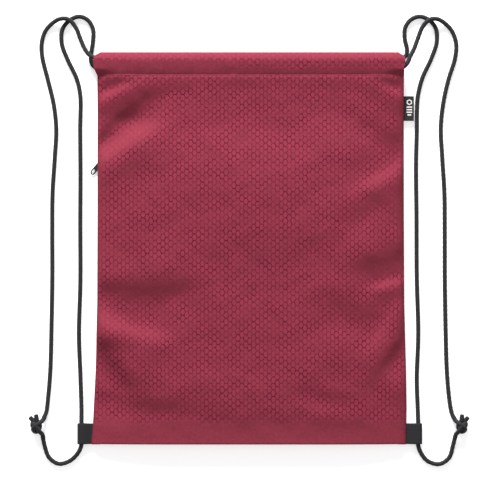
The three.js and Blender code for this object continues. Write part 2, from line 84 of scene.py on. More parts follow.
class BagSizes(PropertyGroup):
    cloth: size_property("Cloth thickness", "Thickness of the bag's printed cloth", 0.4)
    cell_across: size_property("Print pitch across", "Distance between print cells in a row", 8.42)
    cell_along: size_property("Print pitch along", "Distance between print cells in a column", 6.93)
    thread: size_property("Thread pitch", "Distance between the cloth's threads", 0.45)
    cord: size_property("Cord diameter", "Diameter of the drawcords", 4.5)
    plait: size_property("Plait length", "Length of one plait of the cord's braid", 2.6)
    stitch: size_property("Stitch pitch", "Distance between stitches of the hem", 3.0)
    webbing: size_property("Webbing thickness", "Thickness of the corner loops' webbing", 1.15)
    tooth: size_property("Zip tooth pitch", "Distance between turns of the zip's coil", 1.15)


class BagColours(PropertyGroup):
    ground: colour_property("Cloth", "Colour of the cloth where the print is faint", "7D2F3D")
    cell: colour_property("Print cells", "Colour inside the print's cells", "863042")
    web: colour_property("Print web", "Colour of the print's web between the cells", "4C1420")
    thread: colour_property("Sewing thread", "Colour of the thread of seams and hems", "7A2B3A")
    lining: colour_property("Lining", "Colour of the pocket lining", "6D2A36")
    cord: colour_property("Cord", "Colour of the drawcords", "242426")
    webbing: colour_property("Webbing", "Colour of the corner loops", "232226")
    tape: colour_property("Zip tape", "Colour of the zip's tape and coil", "19191B")
    metal: colour_property("Zip metal", "Colour of the painted zip slider and pull", "222224")
    rim: colour_property("Pull rim", "Colour of the bare metal rim of the pull", "8C8C90")
    label: colour_property("Label", "Colour of the label's ground", "2A2A2C")
    mark: colour_property("Label mark", "Colour of the label's woven mark", "D9D6D4")


class BagStudio(PropertyGroup):
    camera_height: FloatProperty(name="Camera height", description="Height of the camera over the floor",
                                 default=2.5, min=0.5, unit="LENGTH")
    view_width: FloatProperty(name="View width", description="Width that the camera sees on the floor",
                              default=0.5371, min=0.1, unit="LENGTH")
    key_power: FloatProperty(name="Key light", description="Power of the low softbox", default=405,
                             min=0, unit="POWER")
    fill_power: FloatProperty(name="Fill light", description="Power of the overhead softbox", default=20,
                              min=0, unit="POWER")
    floor_glow: FloatProperty(name="Floor glow", description="Light given off by the lit table top",
                              default=0.45, min=0)
    surround: FloatProperty(name="Surround", description="Strength of the even light from all round",
                            default=0.4, min=0)


def sizes():
    return bpy.context.scene.bag_sizes


def colours():
    return bpy.context.scene.bag_colours


def studio():
    return bpy.context.scene.bag_studio


# ---- numbers that the pieces share, in millimetres ----
# The bag's outline, from the bottom to the mouth.
OUTLINE_Y = np.array([-210, -170, -130, -60, 40, 210])
OUTLINE_LEFT = np.array([-169.3, -167.2, -165.2, -163.4, -163, -163])
OUTLINE_RIGHT = np.array([167.4, 168.2, 167.6, 165.7, 165.2, 165])
# Heights of the side seams: in general, at the mouth, and along the zip.
SEAM_Z = 4.4
MOUTH_SEAM_Z = 8.3
ZIP_SEAM_Z = 7.3
# How far the front rises over its seams, and how far in from an edge it is still rising.
DOME_RISE = 8
MOUTH_DOME_RISE = 2.2
DOME_REACH = 90
EDGE_RISE = 4.6
EDGE_REACH = 9
# Turned-in cloth: how far it reaches, and how far below the outer face it lies.
ALLOWANCE = 9
TURN_DROP = 0.8
# Thickness of the zip's tapes, the pocket's lining and the label's tape.
TAPE_THICKNESS = 0.42
LINING_THICKNESS = 0.3
LABEL_THICKNESS = 0.32
# The zip's opening in the back runs past both ends of its tapes.
TAPE_LOW, TAPE_HIGH = box_mm("zip_tape_inner")
WINDOW_LOW_Y = TAPE_LOW[1] - 13
WINDOW_HIGH_Y = TAPE_HIGH[1] + 3
WINDOW_X = -147
HEM_Y = box_mm("front_channel")[0][1]
STITCH_Y = HEM_Y + 1
BOTTOM = box_mm("front_panel")[0][1]

# Heights of a cord's middle.
UPPER_CORD_Y = 203
LOWER_CORD_Y = 192.5
FRONT_CORD_Z = 13.65
BACK_CORD_Z = 3.05
FLOOR_Z = 2.4
OVER_Z = 7.5
TAB_CORD_X = 180.6
TAB_CORD_Z = 3.9


def strand_route(*points):
    """Points on a strand's way. A point given by x and y only is on the floor."""
    return [(*point, FLOOR_Z)[:3] for point in points]


# Each cord's strands, from inside the hem to the knot, as x, y and z.
STRANDS = {
    ("left", "outer"): strand_route(
        (-146, UPPER_CORD_Y, FRONT_CORD_Z), (-152, UPPER_CORD_Y, FRONT_CORD_Z),
        (-157.6, UPPER_CORD_Y, FRONT_CORD_Z), (-163.6, 203.3, 13.5), (-168.8, 205, 12.4),
        (-173.4, 208.8, 10.8), (-178, 216.4, 8.6), (-181.8, 225.5, 7), (-186, 235.8, 6.9),
        (-193.6, 244.8, OVER_Z), (-202.5, 246, 5.8), (-212, 241.2, 3.2), (-219.6, 232.5), (-223.3, 220),
        (-222.7, 205.5), (-216.4, 180), (-210.3, 154), (-207.7, 128), (-209.2, 98), (-211.6, 60),
        (-212, 20), (-211.9, -30), (-212.8, -85), (-214, -130), (-216.4, -160), (-218.4, -176, 3),
        (-221.6, -183.4, 4.6)),
    ("left", "inner"): strand_route(
        (-146, LOWER_CORD_Y, BACK_CORD_Z), (-152, LOWER_CORD_Y, BACK_CORD_Z),
        (-157.6, LOWER_CORD_Y, BACK_CORD_Z), (-163.8, 193.1, 2.8), (-168.4, 196.4), (-170.4, 201.6),
        (-170.3, 208), (-168.2, 222.5), (-168.2, 235.3), (-174, 245.1), (-183.3, 248.6),
        (-193.6, 244.5), (-200.9, 235), (-201.8, 220), (-195.4, 202.4), (-185.6, 181.5), (-181.8, 163),
        (-182, 130), (-181.7, 80), (-181.9, 25), (-181.8, -35), (-183.3, -92), (-181.6, -140),
        (-180.6, -172, 2.9), (-TAB_CORD_X, -186, TAB_CORD_Z), (-TAB_CORD_X, -199, TAB_CORD_Z),
        (-TAB_CORD_X, -211, TAB_CORD_Z), (-184.6, -220, 3), (-193.6, -228.4), (-205.2, -231.2),
        (-215.2, -224.6), (-219.9, -212.4, 2.8), (-222.3, -199.8, 4.4)),
    ("right", "outer"): strand_route(
        (146, LOWER_CORD_Y, FRONT_CORD_Z), (152, LOWER_CORD_Y, FRONT_CORD_Z),
        (157.6, LOWER_CORD_Y, FRONT_CORD_Z), (163.6, 193.6, 13.6), (168.4, 198, 13.2),
        (171.4, 204.6, 11.8), (175.8, 213.4, 9.3), (180.4, 225.6, 7.2), (185, 236.8, 6.9),
        (192.2, 244.6, OVER_Z), (201, 245.6, 5.9), (210.4, 240.4, 3.3), (217.6, 232), (221.5, 219.5),
        (220.2, 203.5), (213.4, 181.5), (207.9, 157), (205, 130), (206.5, 98), (208.8, 60), (209.2, 20),
        (209.3, -35), (210.2, -90), (211.4, -130), (214, -161), (216.8, -177, 3), (220.2, -184, 4.6)),
    ("right", "inner"): strand_route(
        (146, UPPER_CORD_Y, BACK_CORD_Z), (152, UPPER_CORD_Y, BACK_CORD_Z),
        (157.6, UPPER_CORD_Y, BACK_CORD_Z), (163.6, 203.6, 2.7), (167.8, 207), (168.8, 213.4),
        (166.4, 224.3), (166.6, 236), (172.6, 245), (182.2, 248.6), (192.4, 245), (199.6, 236),
        (200.6, 221.2), (194.7, 203.2), (185.2, 182.4), (180.4, 163), (179.4, 148), (179.2, 125),
        (178.4, 90), (178.9, 35), (179.2, -30), (180.8, -92), (179.2, -140), (180.2, -172, 2.9),
        (TAB_CORD_X, -186, TAB_CORD_Z), (TAB_CORD_X, -199, TAB_CORD_Z), (TAB_CORD_X, -211, TAB_CORD_Z),
        (184, -220.2, 3), (191.4, -228.6), (203.4, -231.6), (213.8, -224.9), (218.2, -211, 2.8),
        (220.8, -199.4, 4.4)),
}
# The two strands through each knot, up to their cut tails.
KNOTS = {
    "left": [
        [(-219.6, -179.5, 3.6), (-221.8, -184.2, 5.2), (-226, -187.6, 9.2), (-231, -191.6, 9.7),
         (-231.8, -194.8, 6.4), (-228.8, -196.7, 3.2), (-226, -193.6, 3.0), (-225, -189.6, 6.0),
         (-227.6, -185.4, 7.6), (-229, -177.8, 7.6)],
        [(-221.2, -205, 3.6), (-222.4, -199.6, 5.0), (-224.8, -196.2, 9.3), (-228.6, -190.4, 9.9),
         (-232.4, -187.6, 6.8), (-232.8, -190.6, 3.2), (-227.6, -193.4, 3.1), (-224.8, -191.4, 7.2),
         (-229.4, -187.4, 6.6), (-235.8, -180.7, 6.5)]],
    "right": [
        [(218.2, -180, 3.6), (220.6, -184.6, 5.2), (224.6, -188, 9.2), (229.6, -191.8, 9.7),
         (230.4, -194.8, 6.4), (227.4, -196.7, 3.2), (224.6, -193.6, 3.0), (223.6, -189.6, 6.0),
         (226.4, -185.4, 7.6), (227.6, -177.8, 7.6)],
        [(219.8, -204.8, 3.6), (221, -199.6, 5.0), (223.4, -196.2, 9.3), (227.2, -190.4, 9.9),
         (231, -187.6, 6.8), (231.2, -190.6, 3.2), (226, -193.4, 3.1), (223.4, -191.4, 7.2),
         (228.2, -187.4, 6.6), (234.4, -180.8, 6.5)]],
}


def hem_route(side, front_y, back_y):
    """A cord's way through the hems: out along the front, round the far corner, and back."""
    def turn(x, share):
        return (side * x, front_y + (back_y - front_y) * share,
                FRONT_CORD_Z + (BACK_CORD_Z - FRONT_CORD_Z) * share)
    return [turn(x, share) for x, share in (
        (-145.6, 0), (0, 0), (146, 0), (154, 0), (158.3, 0), (162.3, 0.17), (163.9, 0.5),
        (162.3, 0.83), (158.3, 1), (154, 1), (146, 1), (0, 1), (-145.6, 1))]


# ---- meshes ----
def new_object(name, data):
    """An object in the scene for a mesh, a light or a camera."""
    made = bpy.data.objects.new(name, data)
    bpy.context.scene.collection.objects.link(made)
    return made


def mesh_piece(name, points, faces, uv=None):
    """A smooth-shaded object from points in millimetres, with a UV in metres for each point."""
    mesh = bpy.data.meshes.new(name)
    mesh.from_pydata((np.asarray(points) * MM).tolist(), [], faces)
    if uv is not None:
        corners = np.empty(len(mesh.loops), dtype=np.int32)
        mesh.loops.foreach_get("vertex_index", corners)
        layer = mesh.uv_layers.new(name="surface")
        layer.data.foreach_set("uv", (np.asarray(uv) * MM)[corners].ravel())
    mesh.shade_smooth()
    mesh.validate()
    return new_object(name, mesh)


def grid_faces(rows, columns, start=0, wrap=False):
    """Quads of a grid of points, facing up when rows run along +Y and columns along +X."""
    faces = []
    for row in range(rows - 1):
        for column in range(columns if wrap else columns - 1):
            right = (column + 1) % columns
            a = start + row * columns
            b = a + columns
            faces.append((a + column, a + right, b + right, b + column))
    return faces


def flipped(faces):
    return [tuple(reversed(face)) for face in faces]


def joined(parts):
    """The points and faces of several meshes as one."""
    faces, count = [], 0
    for points, part_faces in parts:
        faces += [tuple(i + count for i in face) for face in part_faces]
        count += len(points)
    return np.vstack([points for points, _ in parts]), faces


def primitive(add, name="", **settings):
    """A primitive mesh, added with nothing else selected."""
    bpy.ops.object.select_all(action="DESELECT")
    add(**settings)
    made = bpy.context.object
    made.name = name or made.name
    return made


def primitive_shape(add, **settings):
    """The points and faces of a primitive mesh, to be copied many times over."""
    made = primitive(add, **settings)
    bpy.ops.object.transform_apply()
    points = np.array([v.co[:] for v in made.data.vertices])
    faces = [tuple(p.vertices) for p in made.data.polygons]
    bpy.data.objects.remove(made)
    return points, faces


def select_only(piece):
    bpy.ops.object.select_all(action="DESELECT")
    piece.select_set(True)
    bpy.context.view_layer.objects.active = piece


def apply_modifier(piece, kind, **settings):
    select_only(piece)
    modifier = piece.modifiers.new(kind.title(), kind)
    for name, value in settings.items():
        setattr(modifier, name, value)
    bpy.ops.object.modifier_apply(modifier=modifier.name)


def dress(piece, finish, body="bag", replaced=()):
    """Give a piece its material, its body, and the solids that it stands for."""
    piece.data.materials.clear()
    piece.data.materials.append(finish)
    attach(piece, body)
    if replaced:
        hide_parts(*replaced)


def smoothstep(value, low, high):
    t = np.clip((value - low) / (high - low), 0, 1)
    return t * t * (3 - 2 * t)


def mix(a, b, share):
    return a + (b - a) * share


def rise(distance, reach):
    return 1 - (1 - np.clip(distance / reach, 0, 1)) ** 2


def step_lengths(path):
    return np.linalg.norm(np.diff(path, axis=0), axis=1)


def distance_along(path):
    return np.concatenate([[0], np.cumsum(step_lengths(path))])


def smooth_path(points, step):
    """A centripetal Catmull-Rom curve through the points, resampled at an even step."""
    knots = np.array([2 * np.array(points[0]) - points[1], *points,
                      2 * np.array(points[-1]) - points[-2]], dtype=float)
    fine = []
    s = np.linspace(0, 1, 24, endpoint=False)[:, None]
    for p0, p1, p2, p3 in zip(knots, knots[1:], knots[2:], knots[3:]):
        d0, d1, d2 = (math.sqrt(np.linalg.norm(b - a)) for a, b in ((p0, p1), (p1, p2), (p2, p3)))
        out = ((p1 - p0) / d0 - (p2 - p0) / (d0 + d1) + (p2 - p1) / d1) * d1
        into = ((p2 - p1) / d1 - (p3 - p1) / (d1 + d2) + (p3 - p2) / d2) * d1
        fine.append((2 * s ** 3 - 3 * s ** 2 + 1) * p1 + (s ** 3 - 2 * s ** 2 + s) * out
                    + (3 * s ** 2 - 2 * s ** 3) * p2 + (s ** 3 - s ** 2) * into)
    fine = np.vstack([*fine, knots[-2]])
    along = distance_along(fine)
    stations = np.linspace(0, along[-1], max(2, round(along[-1] / step)) + 1)
    return np.stack([np.interp(stations, along, column) for column in fine.T], axis=1)


def unit_tangents(path):
    tangents = np.gradient(path, axis=0)
    return tangents / np.linalg.norm(tangents, axis=1)[:, None]


def braided_tube(path, radius, sides, plait):
    """Points, faces and UVs of a round braid that follows a path without twisting.

    Plaits go round both ways, and each crossing stands out as a small oval bump."""
    plaits, relief, mean_bump = 3, 0.11, 0.2
    end_rounding = {0: 0.55, 1: 0.88}
    tangents = unit_tangents(path)
    side = np.cross(tangents[0], (0.1, 0.2, 1.0))
    angles = np.linspace(0, 2 * math.pi, sides, endpoint=False)
    points, uv = [], []
    travelled = 0.0
    for i, (centre, tangent) in enumerate(zip(path, tangents)):
        if i:
            travelled += np.linalg.norm(centre - path[i - 1])
        side = side - tangent * side.dot(tangent)
        side /= np.linalg.norm(side)
        up = np.cross(tangent, side)
        helix = math.pi * travelled / plait
        bumps = np.abs(np.sin(plaits * angles + helix / 2) * np.sin(plaits * angles - helix / 2))
        rounding = end_rounding.get(min(i, len(path) - 1 - i), 1.0)
        ring = radius * rounding * (1 + relief * (bumps - mean_bump))
        points.append(centre + ring[:, None] * (np.cos(angles)[:, None] * side
                                                + np.sin(angles)[:, None] * up))
        uv.append(np.stack([angles / (2 * math.pi) * radius * 6, np.full(sides, travelled)], axis=1))
    points = np.vstack([*points, path[0], path[-1]])
    uv = np.vstack([*uv, (0, 0), (0, travelled)])
    faces = grid_faces(len(path), sides, wrap=True)
    first, last = len(points) - 2, len(points) - 1
    end = (len(path) - 1) * sides
    for i in range(sides):
        after = (i + 1) % sides
        faces.append((first, after, i))
        faces.append((last, end + i, end + after))
    return points, faces, uv


def strip(line, low_y, high_y, thickness, step_y, lift=None):
    """Points, faces and UVs of a band: a line in X and Z carried along Y, with rounded selvedges."""
    tangents = unit_tangents(line)
    normals = np.stack([-tangents[:, 1], tangents[:, 0]], axis=1)
    along = distance_along(line)
    selvedge = thickness * 0.5
    inner = np.linspace(low_y + selvedge, high_y - selvedge, max(2, round((high_y - low_y) / step_y)))
    y = np.concatenate([[low_y, low_y + selvedge * 0.3], inner, [high_y - selvedge * 0.3, high_y]])
    half = np.full(len(y), thickness / 2)
    half[[0, -1]] *= 0.15
    half[[1, -2]] *= 0.75
    points, uv = [], []
    for sign in (1, -1):
        x, z = (line[None, :, i] + sign * half[:, None] * normals[None, :, i] for i in (0, 1))
        yy = np.broadcast_to(y[:, None], x.shape)
        if lift is not None:
            z = z + lift(x, yy)
        points.append(np.stack([x, yy, z], axis=2).reshape(-1, 3))
        uv.append(np.stack([np.broadcast_to(along[None, :], x.shape), yy], axis=2).reshape(-1, 2))
    rows, columns = len(y), len(line)
    count = rows * columns
    faces = grid_faces(rows, columns) + flipped(grid_faces(rows, columns, start=count))
    border = [*range(columns), *(row * columns + columns - 1 for row in range(1, rows)),
              *((rows - 1) * columns + i for i in reversed(range(columns - 1))),
              *(row * columns for row in reversed(range(1, rows - 1)))]
    faces += [(b, a, a + count, b + count) for a, b in zip(border, border[1:] + border[:1])]
    return np.vstack(points), faces, np.vstack(uv)


# ---- materials ----
def rgba(colour):
    return (*colour, 1.0)


def set_inputs(tree, node, inputs):
    """Give a node's inputs a value, a socket, or another node's first output.

    Map Range's inputs 1 to 4 are the range it takes and the range it gives. Mix's inputs 0, 6 and
    7 are the share and the two colours."""
    for key, value in inputs.items():
        if isinstance(value, bpy.types.Node):
            value = value.outputs[0]
        if isinstance(value, bpy.types.NodeSocket):
            tree.links.new(value, node.inputs[key])
        else:
            node.inputs[key].default_value = value


def add_node(tree, kind, inputs=None, **settings):
    """Add a shader node with its settings, values and links."""
    made = tree.nodes.new("ShaderNode" + kind)
    for name, value in settings.items():
        setattr(made, name, value)
    set_inputs(tree, made, inputs or {})
    return made


def new_material(name):
    """An empty material, its node tree and its surface shader."""
    finish = bpy.data.materials.new(name)
    finish.use_nodes = True
    tree = finish.node_tree
    return finish, tree, tree.nodes["Principled BSDF"]


def material(build, name, *values):
    """A material made once, and shared from then on."""
    return bpy.data.materials.get(name) or build(name, *values)


def wave_scale(period):
    """The scale at which a wave texture, which is a sine of 20 times it, has this period."""
    return 2 * math.pi / (20 * period)


def printed_polyester(name):
    """Light woven polyester, dyed and then printed with a darker honeycomb.

    The close weave is nearly matt with a faint satin gloss, and the print is matt ink in the threads."""
    finish, tree, shader = new_material(name)
    size, colour = sizes(), colours()
    surface = add_node(tree, "UVMap", uv_map="surface")

    # Two lattices of oval cells, half a pitch apart both ways, in units of the pitch.
    per_cell = (1 / size.cell_across, 1 / size.cell_along, 0)
    lattice = add_node(tree, "VectorMath", {0: surface, 1: per_cell}, operation="MULTIPLY")
    distances = []
    for offset in (0, 0.5):
        shifted = add_node(tree, "VectorMath", {0: lattice, 1: (offset, offset, 0)}, operation="ADD")
        wrapped = add_node(tree, "VectorMath", {0: shifted}, operation="FRACTION")
        centred = add_node(tree, "VectorMath", {0: wrapped, 1: (0.5, 0.5, 0)}, operation="SUBTRACT")
        quarter = add_node(tree, "VectorMath", {0: centred}, operation="ABSOLUTE")
        # A hexagon with two level sides: its outline is at a distance of 1 from the middle.
        level, slanted = (
            add_node(tree, "VectorMath", {0: quarter, 1: way}, operation="DOT_PRODUCT").outputs["Value"]
            for way in ((0, 2, 0), (3, 1, 0)))
        distances.append(add_node(tree, "Math", {0: level, 1: slanted}, operation="MAXIMUM"))
    nearest = add_node(tree, "Math", {0: distances[0], 1: distances[1]}, operation="MINIMUM")
    # The outline's edge wanders, as ink does on threads.
    wander = add_node(tree, "TexNoise", {"Vector": surface, "Scale": 420.0, "Detail": 2.0})
    ragged = add_node(tree, "Math", {0: wander, 1: 0.45, 2: nearest}, operation="MULTIPLY_ADD")
    cell = add_node(tree, "MapRange", {"Value": ragged, 1: 0.93, 2: 1.22, 3: 1.0, 4: 0.0},
                    interpolation_type="SMOOTHSTEP")

    # The attribute fades the print as painted shade and painted highlight on the flanks of folds, and also
    # in the lowest part and the hem's shaded side. Patches of about 17 mm thin the ink unevenly.
    strength = add_node(tree, "Attribute", attribute_name="print_strength_with_painted_light").outputs["Fac"]
    patches, flecks = (
        add_node(tree, "TexNoise", {"Vector": surface, "Scale": scale, "Detail": 5.0, "Roughness": 0.7})
        for scale in (60.0, 300.0))
    uneven = add_node(tree, "MapRange", {"Value": patches, 1: 0.36, 2: 0.6, 3: 0.35, 4: 1.0})
    # The attribute's part of this share is painted shade and painted highlight. The patches are uneven
    # ink.
    ink = add_node(tree, "Math", {0: strength, 1: uneven}, operation="MULTIPLY")

    # Threads differ a little in shade, in flecks of about 3 mm.
    shade = add_node(tree, "MapRange", {"Value": flecks, 1: 0.25, 2: 0.75, 3: 0.82, 4: 1.16})
    pattern = add_node(tree, "Mix", {0: cell, 6: rgba(colour.web), 7: rgba(colour.cell)},
                       data_type="RGBA").outputs[2]
    printed = add_node(tree, "Mix", {0: ink, 6: rgba(colour.ground), 7: pattern},
                       data_type="RGBA").outputs[2]

    # The weave: threads both ways, and soft creases about 18 mm apart where the cloth has been folded.
    scale = wave_scale(2 * size.thread)
    warp, weft = (
        add_node(tree, "TexWave", {"Vector": surface, "Scale": scale}, bands_direction=way).outputs["Fac"]
        for way in "XY")
    weave = add_node(tree, "Math", {0: warp, 1: weft}, operation="ADD")
    creases = add_node(tree, "TexNoise", {"Vector": surface, "Scale": 55.0, "Detail": 3.0,
                                          "Roughness": 0.55, "Distortion": 0.6})
    fine = add_node(tree, "Bump", {"Height": weave, "Strength": 0.25, "Distance": 0.00006})
    set_inputs(tree, shader, {
        "Base Color": add_node(tree, "VectorMath", {0: printed, "Scale": shade}, operation="SCALE"),
        "Normal": add_node(tree, "Bump", {"Height": creases, "Strength": 0.35, "Distance": 0.0012,
                                          "Normal": fine}),
        "Roughness": 0.82, "Specular IOR Level": 0.04, "Sheen Weight": 0.01, "Sheen Roughness": 0.5,
        "Sheen Tint": rgba(colour.cell)})
    return finish


def woven_cloth(name, colour, thread):
    """A plain woven cloth or tape in one dyed colour: matt, with its threads showing both ways."""
    finish, tree, shader = new_material(name)
    surface = add_node(tree, "UVMap", uv_map="surface")
    scale = wave_scale(2 * thread)
    warp, weft = (
        add_node(tree, "TexWave", {"Vector": surface, "Scale": scale}, bands_direction=way).outputs["Fac"]
        for way in "XY")
    weave = add_node(tree, "Math", {0: warp, 1: weft}, operation="MULTIPLY")
    flecks = add_node(tree, "TexNoise", {"Vector": surface, "Scale": 600.0, "Detail": 4.0})
    mottle = add_node(tree, "Math", {0: weave, 1: flecks}, operation="ADD")
    shade = add_node(tree, "MapRange", {"Value": mottle, 1: 0.2, 2: 1.5, 3: 0.7, 4: 1.25})
    set_inputs(tree, shader, {
        "Base Color": add_node(tree, "VectorMath", {0: colour, "Scale": shade}, operation="SCALE"),
        "Normal": add_node(tree, "Bump", {"Height": weave, "Strength": 0.6, "Distance": thread * 0.25}),
        "Roughness": 0.75, "Specular IOR Level": 0.2, "Sheen Weight": 0.04})
    return finish


def braided_cord(name):
    """Braided polyester cord: soft and matt, each plait a bundle of filaments with a faint sheen."""
    finish, tree, shader = new_material(name)
    surface = add_node(tree, "UVMap", uv_map="surface")
    filaments = add_node(tree, "TexNoise", {"Vector": surface, "Scale": 1400.0, "Detail": 4.0})
    worn = add_node(tree, "TexNoise", {"Vector": surface, "Scale": 90.0, "Detail": 2.0})
    both = add_node(tree, "Math", {0: filaments, 1: worn}, operation="ADD")
    shade = add_node(tree, "MapRange", {"Value": both, 1: 0.6, 2: 1.4, 3: 0.65, 4: 1.35})
    set_inputs(tree, shader, {
        "Base Color": add_node(tree, "VectorMath", {0: colours().cord, "Scale": shade}, operation="SCALE"),
        "Normal": add_node(tree, "Bump", {"Height": filaments, "Strength": 0.5,
                                          "Distance": sizes().cord * 0.02}),
        "Roughness": 0.8, "Specular IOR Level": 0.2, "Sheen Weight": 0.04})
    return finish


def thread_finish(name, colour):
    """Spun polyester sewing thread: matt, with a shade that differs from stitch to stitch."""
    finish, tree, shader = new_material(name)
    place = add_node(tree, "TexCoord").outputs["Object"]
    twist = add_node(tree, "TexNoise", {"Vector": place, "Scale": 900.0})
    shade = add_node(tree, "MapRange", {"Value": twist, 1: 0.25, 2: 0.75, 3: 0.75, 4: 1.2})
    set_inputs(tree, shader, {
        "Base Color": add_node(tree, "VectorMath", {0: colour, "Scale": shade}, operation="SCALE"),
        "Normal": add_node(tree, "Bump", {"Height": twist, "Strength": 0.4, "Distance": 0.0001}),
        "Roughness": 0.7})
    return finish


def hard_finish(name, colour, metallic, roughness):
    """Die-cast zinc, painted or bare, or moulded nylon: a low satin gloss, worn unevenly by handling."""
    finish, tree, shader = new_material(name)
    place = add_node(tree, "TexCoord").outputs["Object"]
    wear = add_node(tree, "TexNoise", {"Vector": place, "Scale": 700.0, "Detail": 5.0})
    gloss = add_node(tree, "MapRange", {"Value": wear, 1: 0.3, 2: 0.7, 3: roughness - 0.08,
                                        4: roughness + 0.12})
    shade = add_node(tree, "MapRange", {"Value": wear, 1: 0.3, 2: 0.7, 3: 0.85, 4: 1.15})
    set_inputs(tree, shader, {
        "Base Color": add_node(tree, "VectorMath", {0: colour, "Scale": shade}, operation="SCALE"),
        "Roughness": gloss, "Metallic": metallic})
    return finish


def cord_material():
    return material(braided_cord, "braided_polyester_cord")


# ---- the cloth's shape ----
def left_edge(y):
    return np.interp(y, OUTLINE_Y, OUTLINE_LEFT)


def right_edge(y):
    return np.interp(y, OUTLINE_Y, OUTLINE_RIGHT)


def zip_range(y):
    """1 along the zip, and 0 past its ends."""
    return np.minimum(smoothstep(y, WINDOW_LOW_Y - 20, WINDOW_LOW_Y),
                      1 - smoothstep(y, WINDOW_HIGH_Y, WINDOW_HIGH_Y + 20))


def seam_height(x, y):
    toward_zip = 1 - smoothstep(x, left_edge(y) + 15, left_edge(y) + 60)
    return (mix(SEAM_Z, MOUTH_SEAM_Z, smoothstep(y, 125, HEM_Y))
            + (ZIP_SEAM_Z - SEAM_Z) * zip_range(y) * toward_zip)


def roll(side, bottom):
    """How far up the rounded edge the cloth is: 0 at a seam, 1 from the end of the rounding."""
    a = 1 - np.clip(side / EDGE_REACH, 0, 1)
    b = 1 - np.clip(bottom / EDGE_REACH, 0, 1)
    return np.sqrt(np.clip(1 - a * a - b * b, 0, 1))


# Flanks of folds: start and end as x and y, half width, and the height that the cloth gains
# going down the bag across the flank. A negative gain faces the bottom of the bag.
FRONT_FLANKS = [
    (-198, 146, -110, 188, 5.5, 2.9), (-172, 182, -140, 187, 3.5, -0.5), (-236, 76, -110, 162, 8.5, -2.9),
    (-112, 164, -60, 176, 7, -0.9), (-218, 74, -98, 138, 10, 4.9), (-60, 120, 70, 101, 18, 1.0),
    (-205, -34, -62, -42, 12, -3.2), (-200, -58, -84, -97, 9, 3.2), (-190, -64, -116, -156, 12, -5.2),
    (-195, -148, -62, -170, 10, -2.0), (-80, -128, 40, -150, 14, 0.8), (40, -160, 122, -182, 8, 0.9),
    (-40, 84, 60, 78, 16, 0.5), (-30, 20, 80, -4, 20, -1.2), (-150, 60, -60, 66, 16, 0.3),
    (80, 186, 130, 184, 6, 0.8), (118, 191, 188, 154, 5, 2.0), (136, 187, 172, 176, 3.5, -1.0),
    (100, 150, 175, 110, 9, -1.2), (108, 62, 198, 113, 9, 3.2), (104, 4, 146, 44, 8, 1.0),
    (112, -20, 194, 10, 10, -2.1), (124, -42, 190, -25, 5, 1.9), (74, -46, 150, -78, 12, -1.6),
    (80, -88, 140, -104, 10, 0.9), (130, -102, 158, -56, 5, 0.9), (132, -138, 186, -58, 8, -3.4),
    (56, -150, 108, -158, 4.5, -0.6), (120, -140, 178, -160, 9, -1.0), (-110, -182, -60, -176, 6, 0.3),
]
BACK_FLANKS = [
    (166, 120, 70, 96, 8, 0.5), (166, -60, 60, -20, 10, 0.6), (-160, -140, -40, -110, 9, -0.6),
    (-150, 150, -30, 130, 9, 0.5), (20, -200, 60, -110, 9, 0.4), (0, 184, -20, 110, 9, -0.4),
]


def folded(x, y, flanks):
    """Height that the flanks of folds add. Beyond a flank the cloth comes back slowly."""
    total = np.zeros_like(x)
    for x0, y0, x1, y1, half_width, gain in flanks:
        length = math.hypot(x1 - x0, y1 - y0)
        dx, dy = (x1 - x0) / length, (y1 - y0) / length
        along = (x - x0) * dx + (y - y0) * dy
        bend = 0.03 * length * np.sin(along / length * 3.1)
        across = ((y - y0) * dx - (x - x0) * dy) * (1 if dx > 0 else -1) + bend
        from_middle = np.abs(along / length - 0.5)
        fade = 1 - smoothstep(from_middle, 0.22, 0.68)
        total -= (gain * fade * np.tanh(across / half_width)
                  * np.exp(-(across / (2.9 * half_width)) ** 2))
    return total


def ripples(x, y, wavelength):
    """Uneven waves, about -1 to 1."""
    k = 2 * math.pi / wavelength
    bent_x = x + 0.16 * wavelength * np.sin(0.61 * k * y + 1.3)
    bent_y = y + 0.16 * wavelength * np.sin(0.53 * k * x + 0.4)
    return (0.5 * np.sin(k * (0.92 * bent_x + 0.39 * bent_y))
            + 0.35 * np.sin(1.37 * k * (0.31 * bent_x - 0.95 * bent_y) + 2.1)
            + 0.25 * np.sin(1.83 * k * (0.77 * bent_x + 0.64 * bent_y) + 4.0))


def front_height(x, y, side, bottom):
    """Height of the front's outer face between its seams."""
    dome = mix(DOME_RISE, MOUTH_DOME_RISE, smoothstep(y, 90, HEM_Y))
    # The cloth comes down to the bottom seam in a hollow curve, with a short turn at the seam.
    share = np.interp(bottom, [0, 0.25, 0.7, 1.5, 2.7, 4.3, 6.2, 9, 13, 17, 22, 28, 36, 50, 70, 95],
                      [0, 0.66, 0.71, 0.722, 0.715, 0.705, 0.695, 0.685, 0.68, 0.685, 0.705, 0.74,
                       0.79, 0.86, 0.94, 1])
    inside = rise(side, 14) * rise(bottom, 40)
    far_from_bottom = 99.0
    swell = EDGE_RISE * roll(side, far_from_bottom) + dome * rise(side, DOME_REACH)
    slow_wave = 1.1 * np.sin(2 * math.pi * (y + 20) / 260)
    return (seam_height(x, y) + TURN_DROP + swell * share
            + folded(x, y, FRONT_FLANKS) * (0.12 + 0.88 * rise(side, 9)) * smoothstep(bottom, 8, 34)
            + inside * (slow_wave + 0.6 * ripples(x, y, 96) + 0.28 * ripples(x + 40, y, 37)
                        + 0.1 * ripples(x, y - 30, 17)))


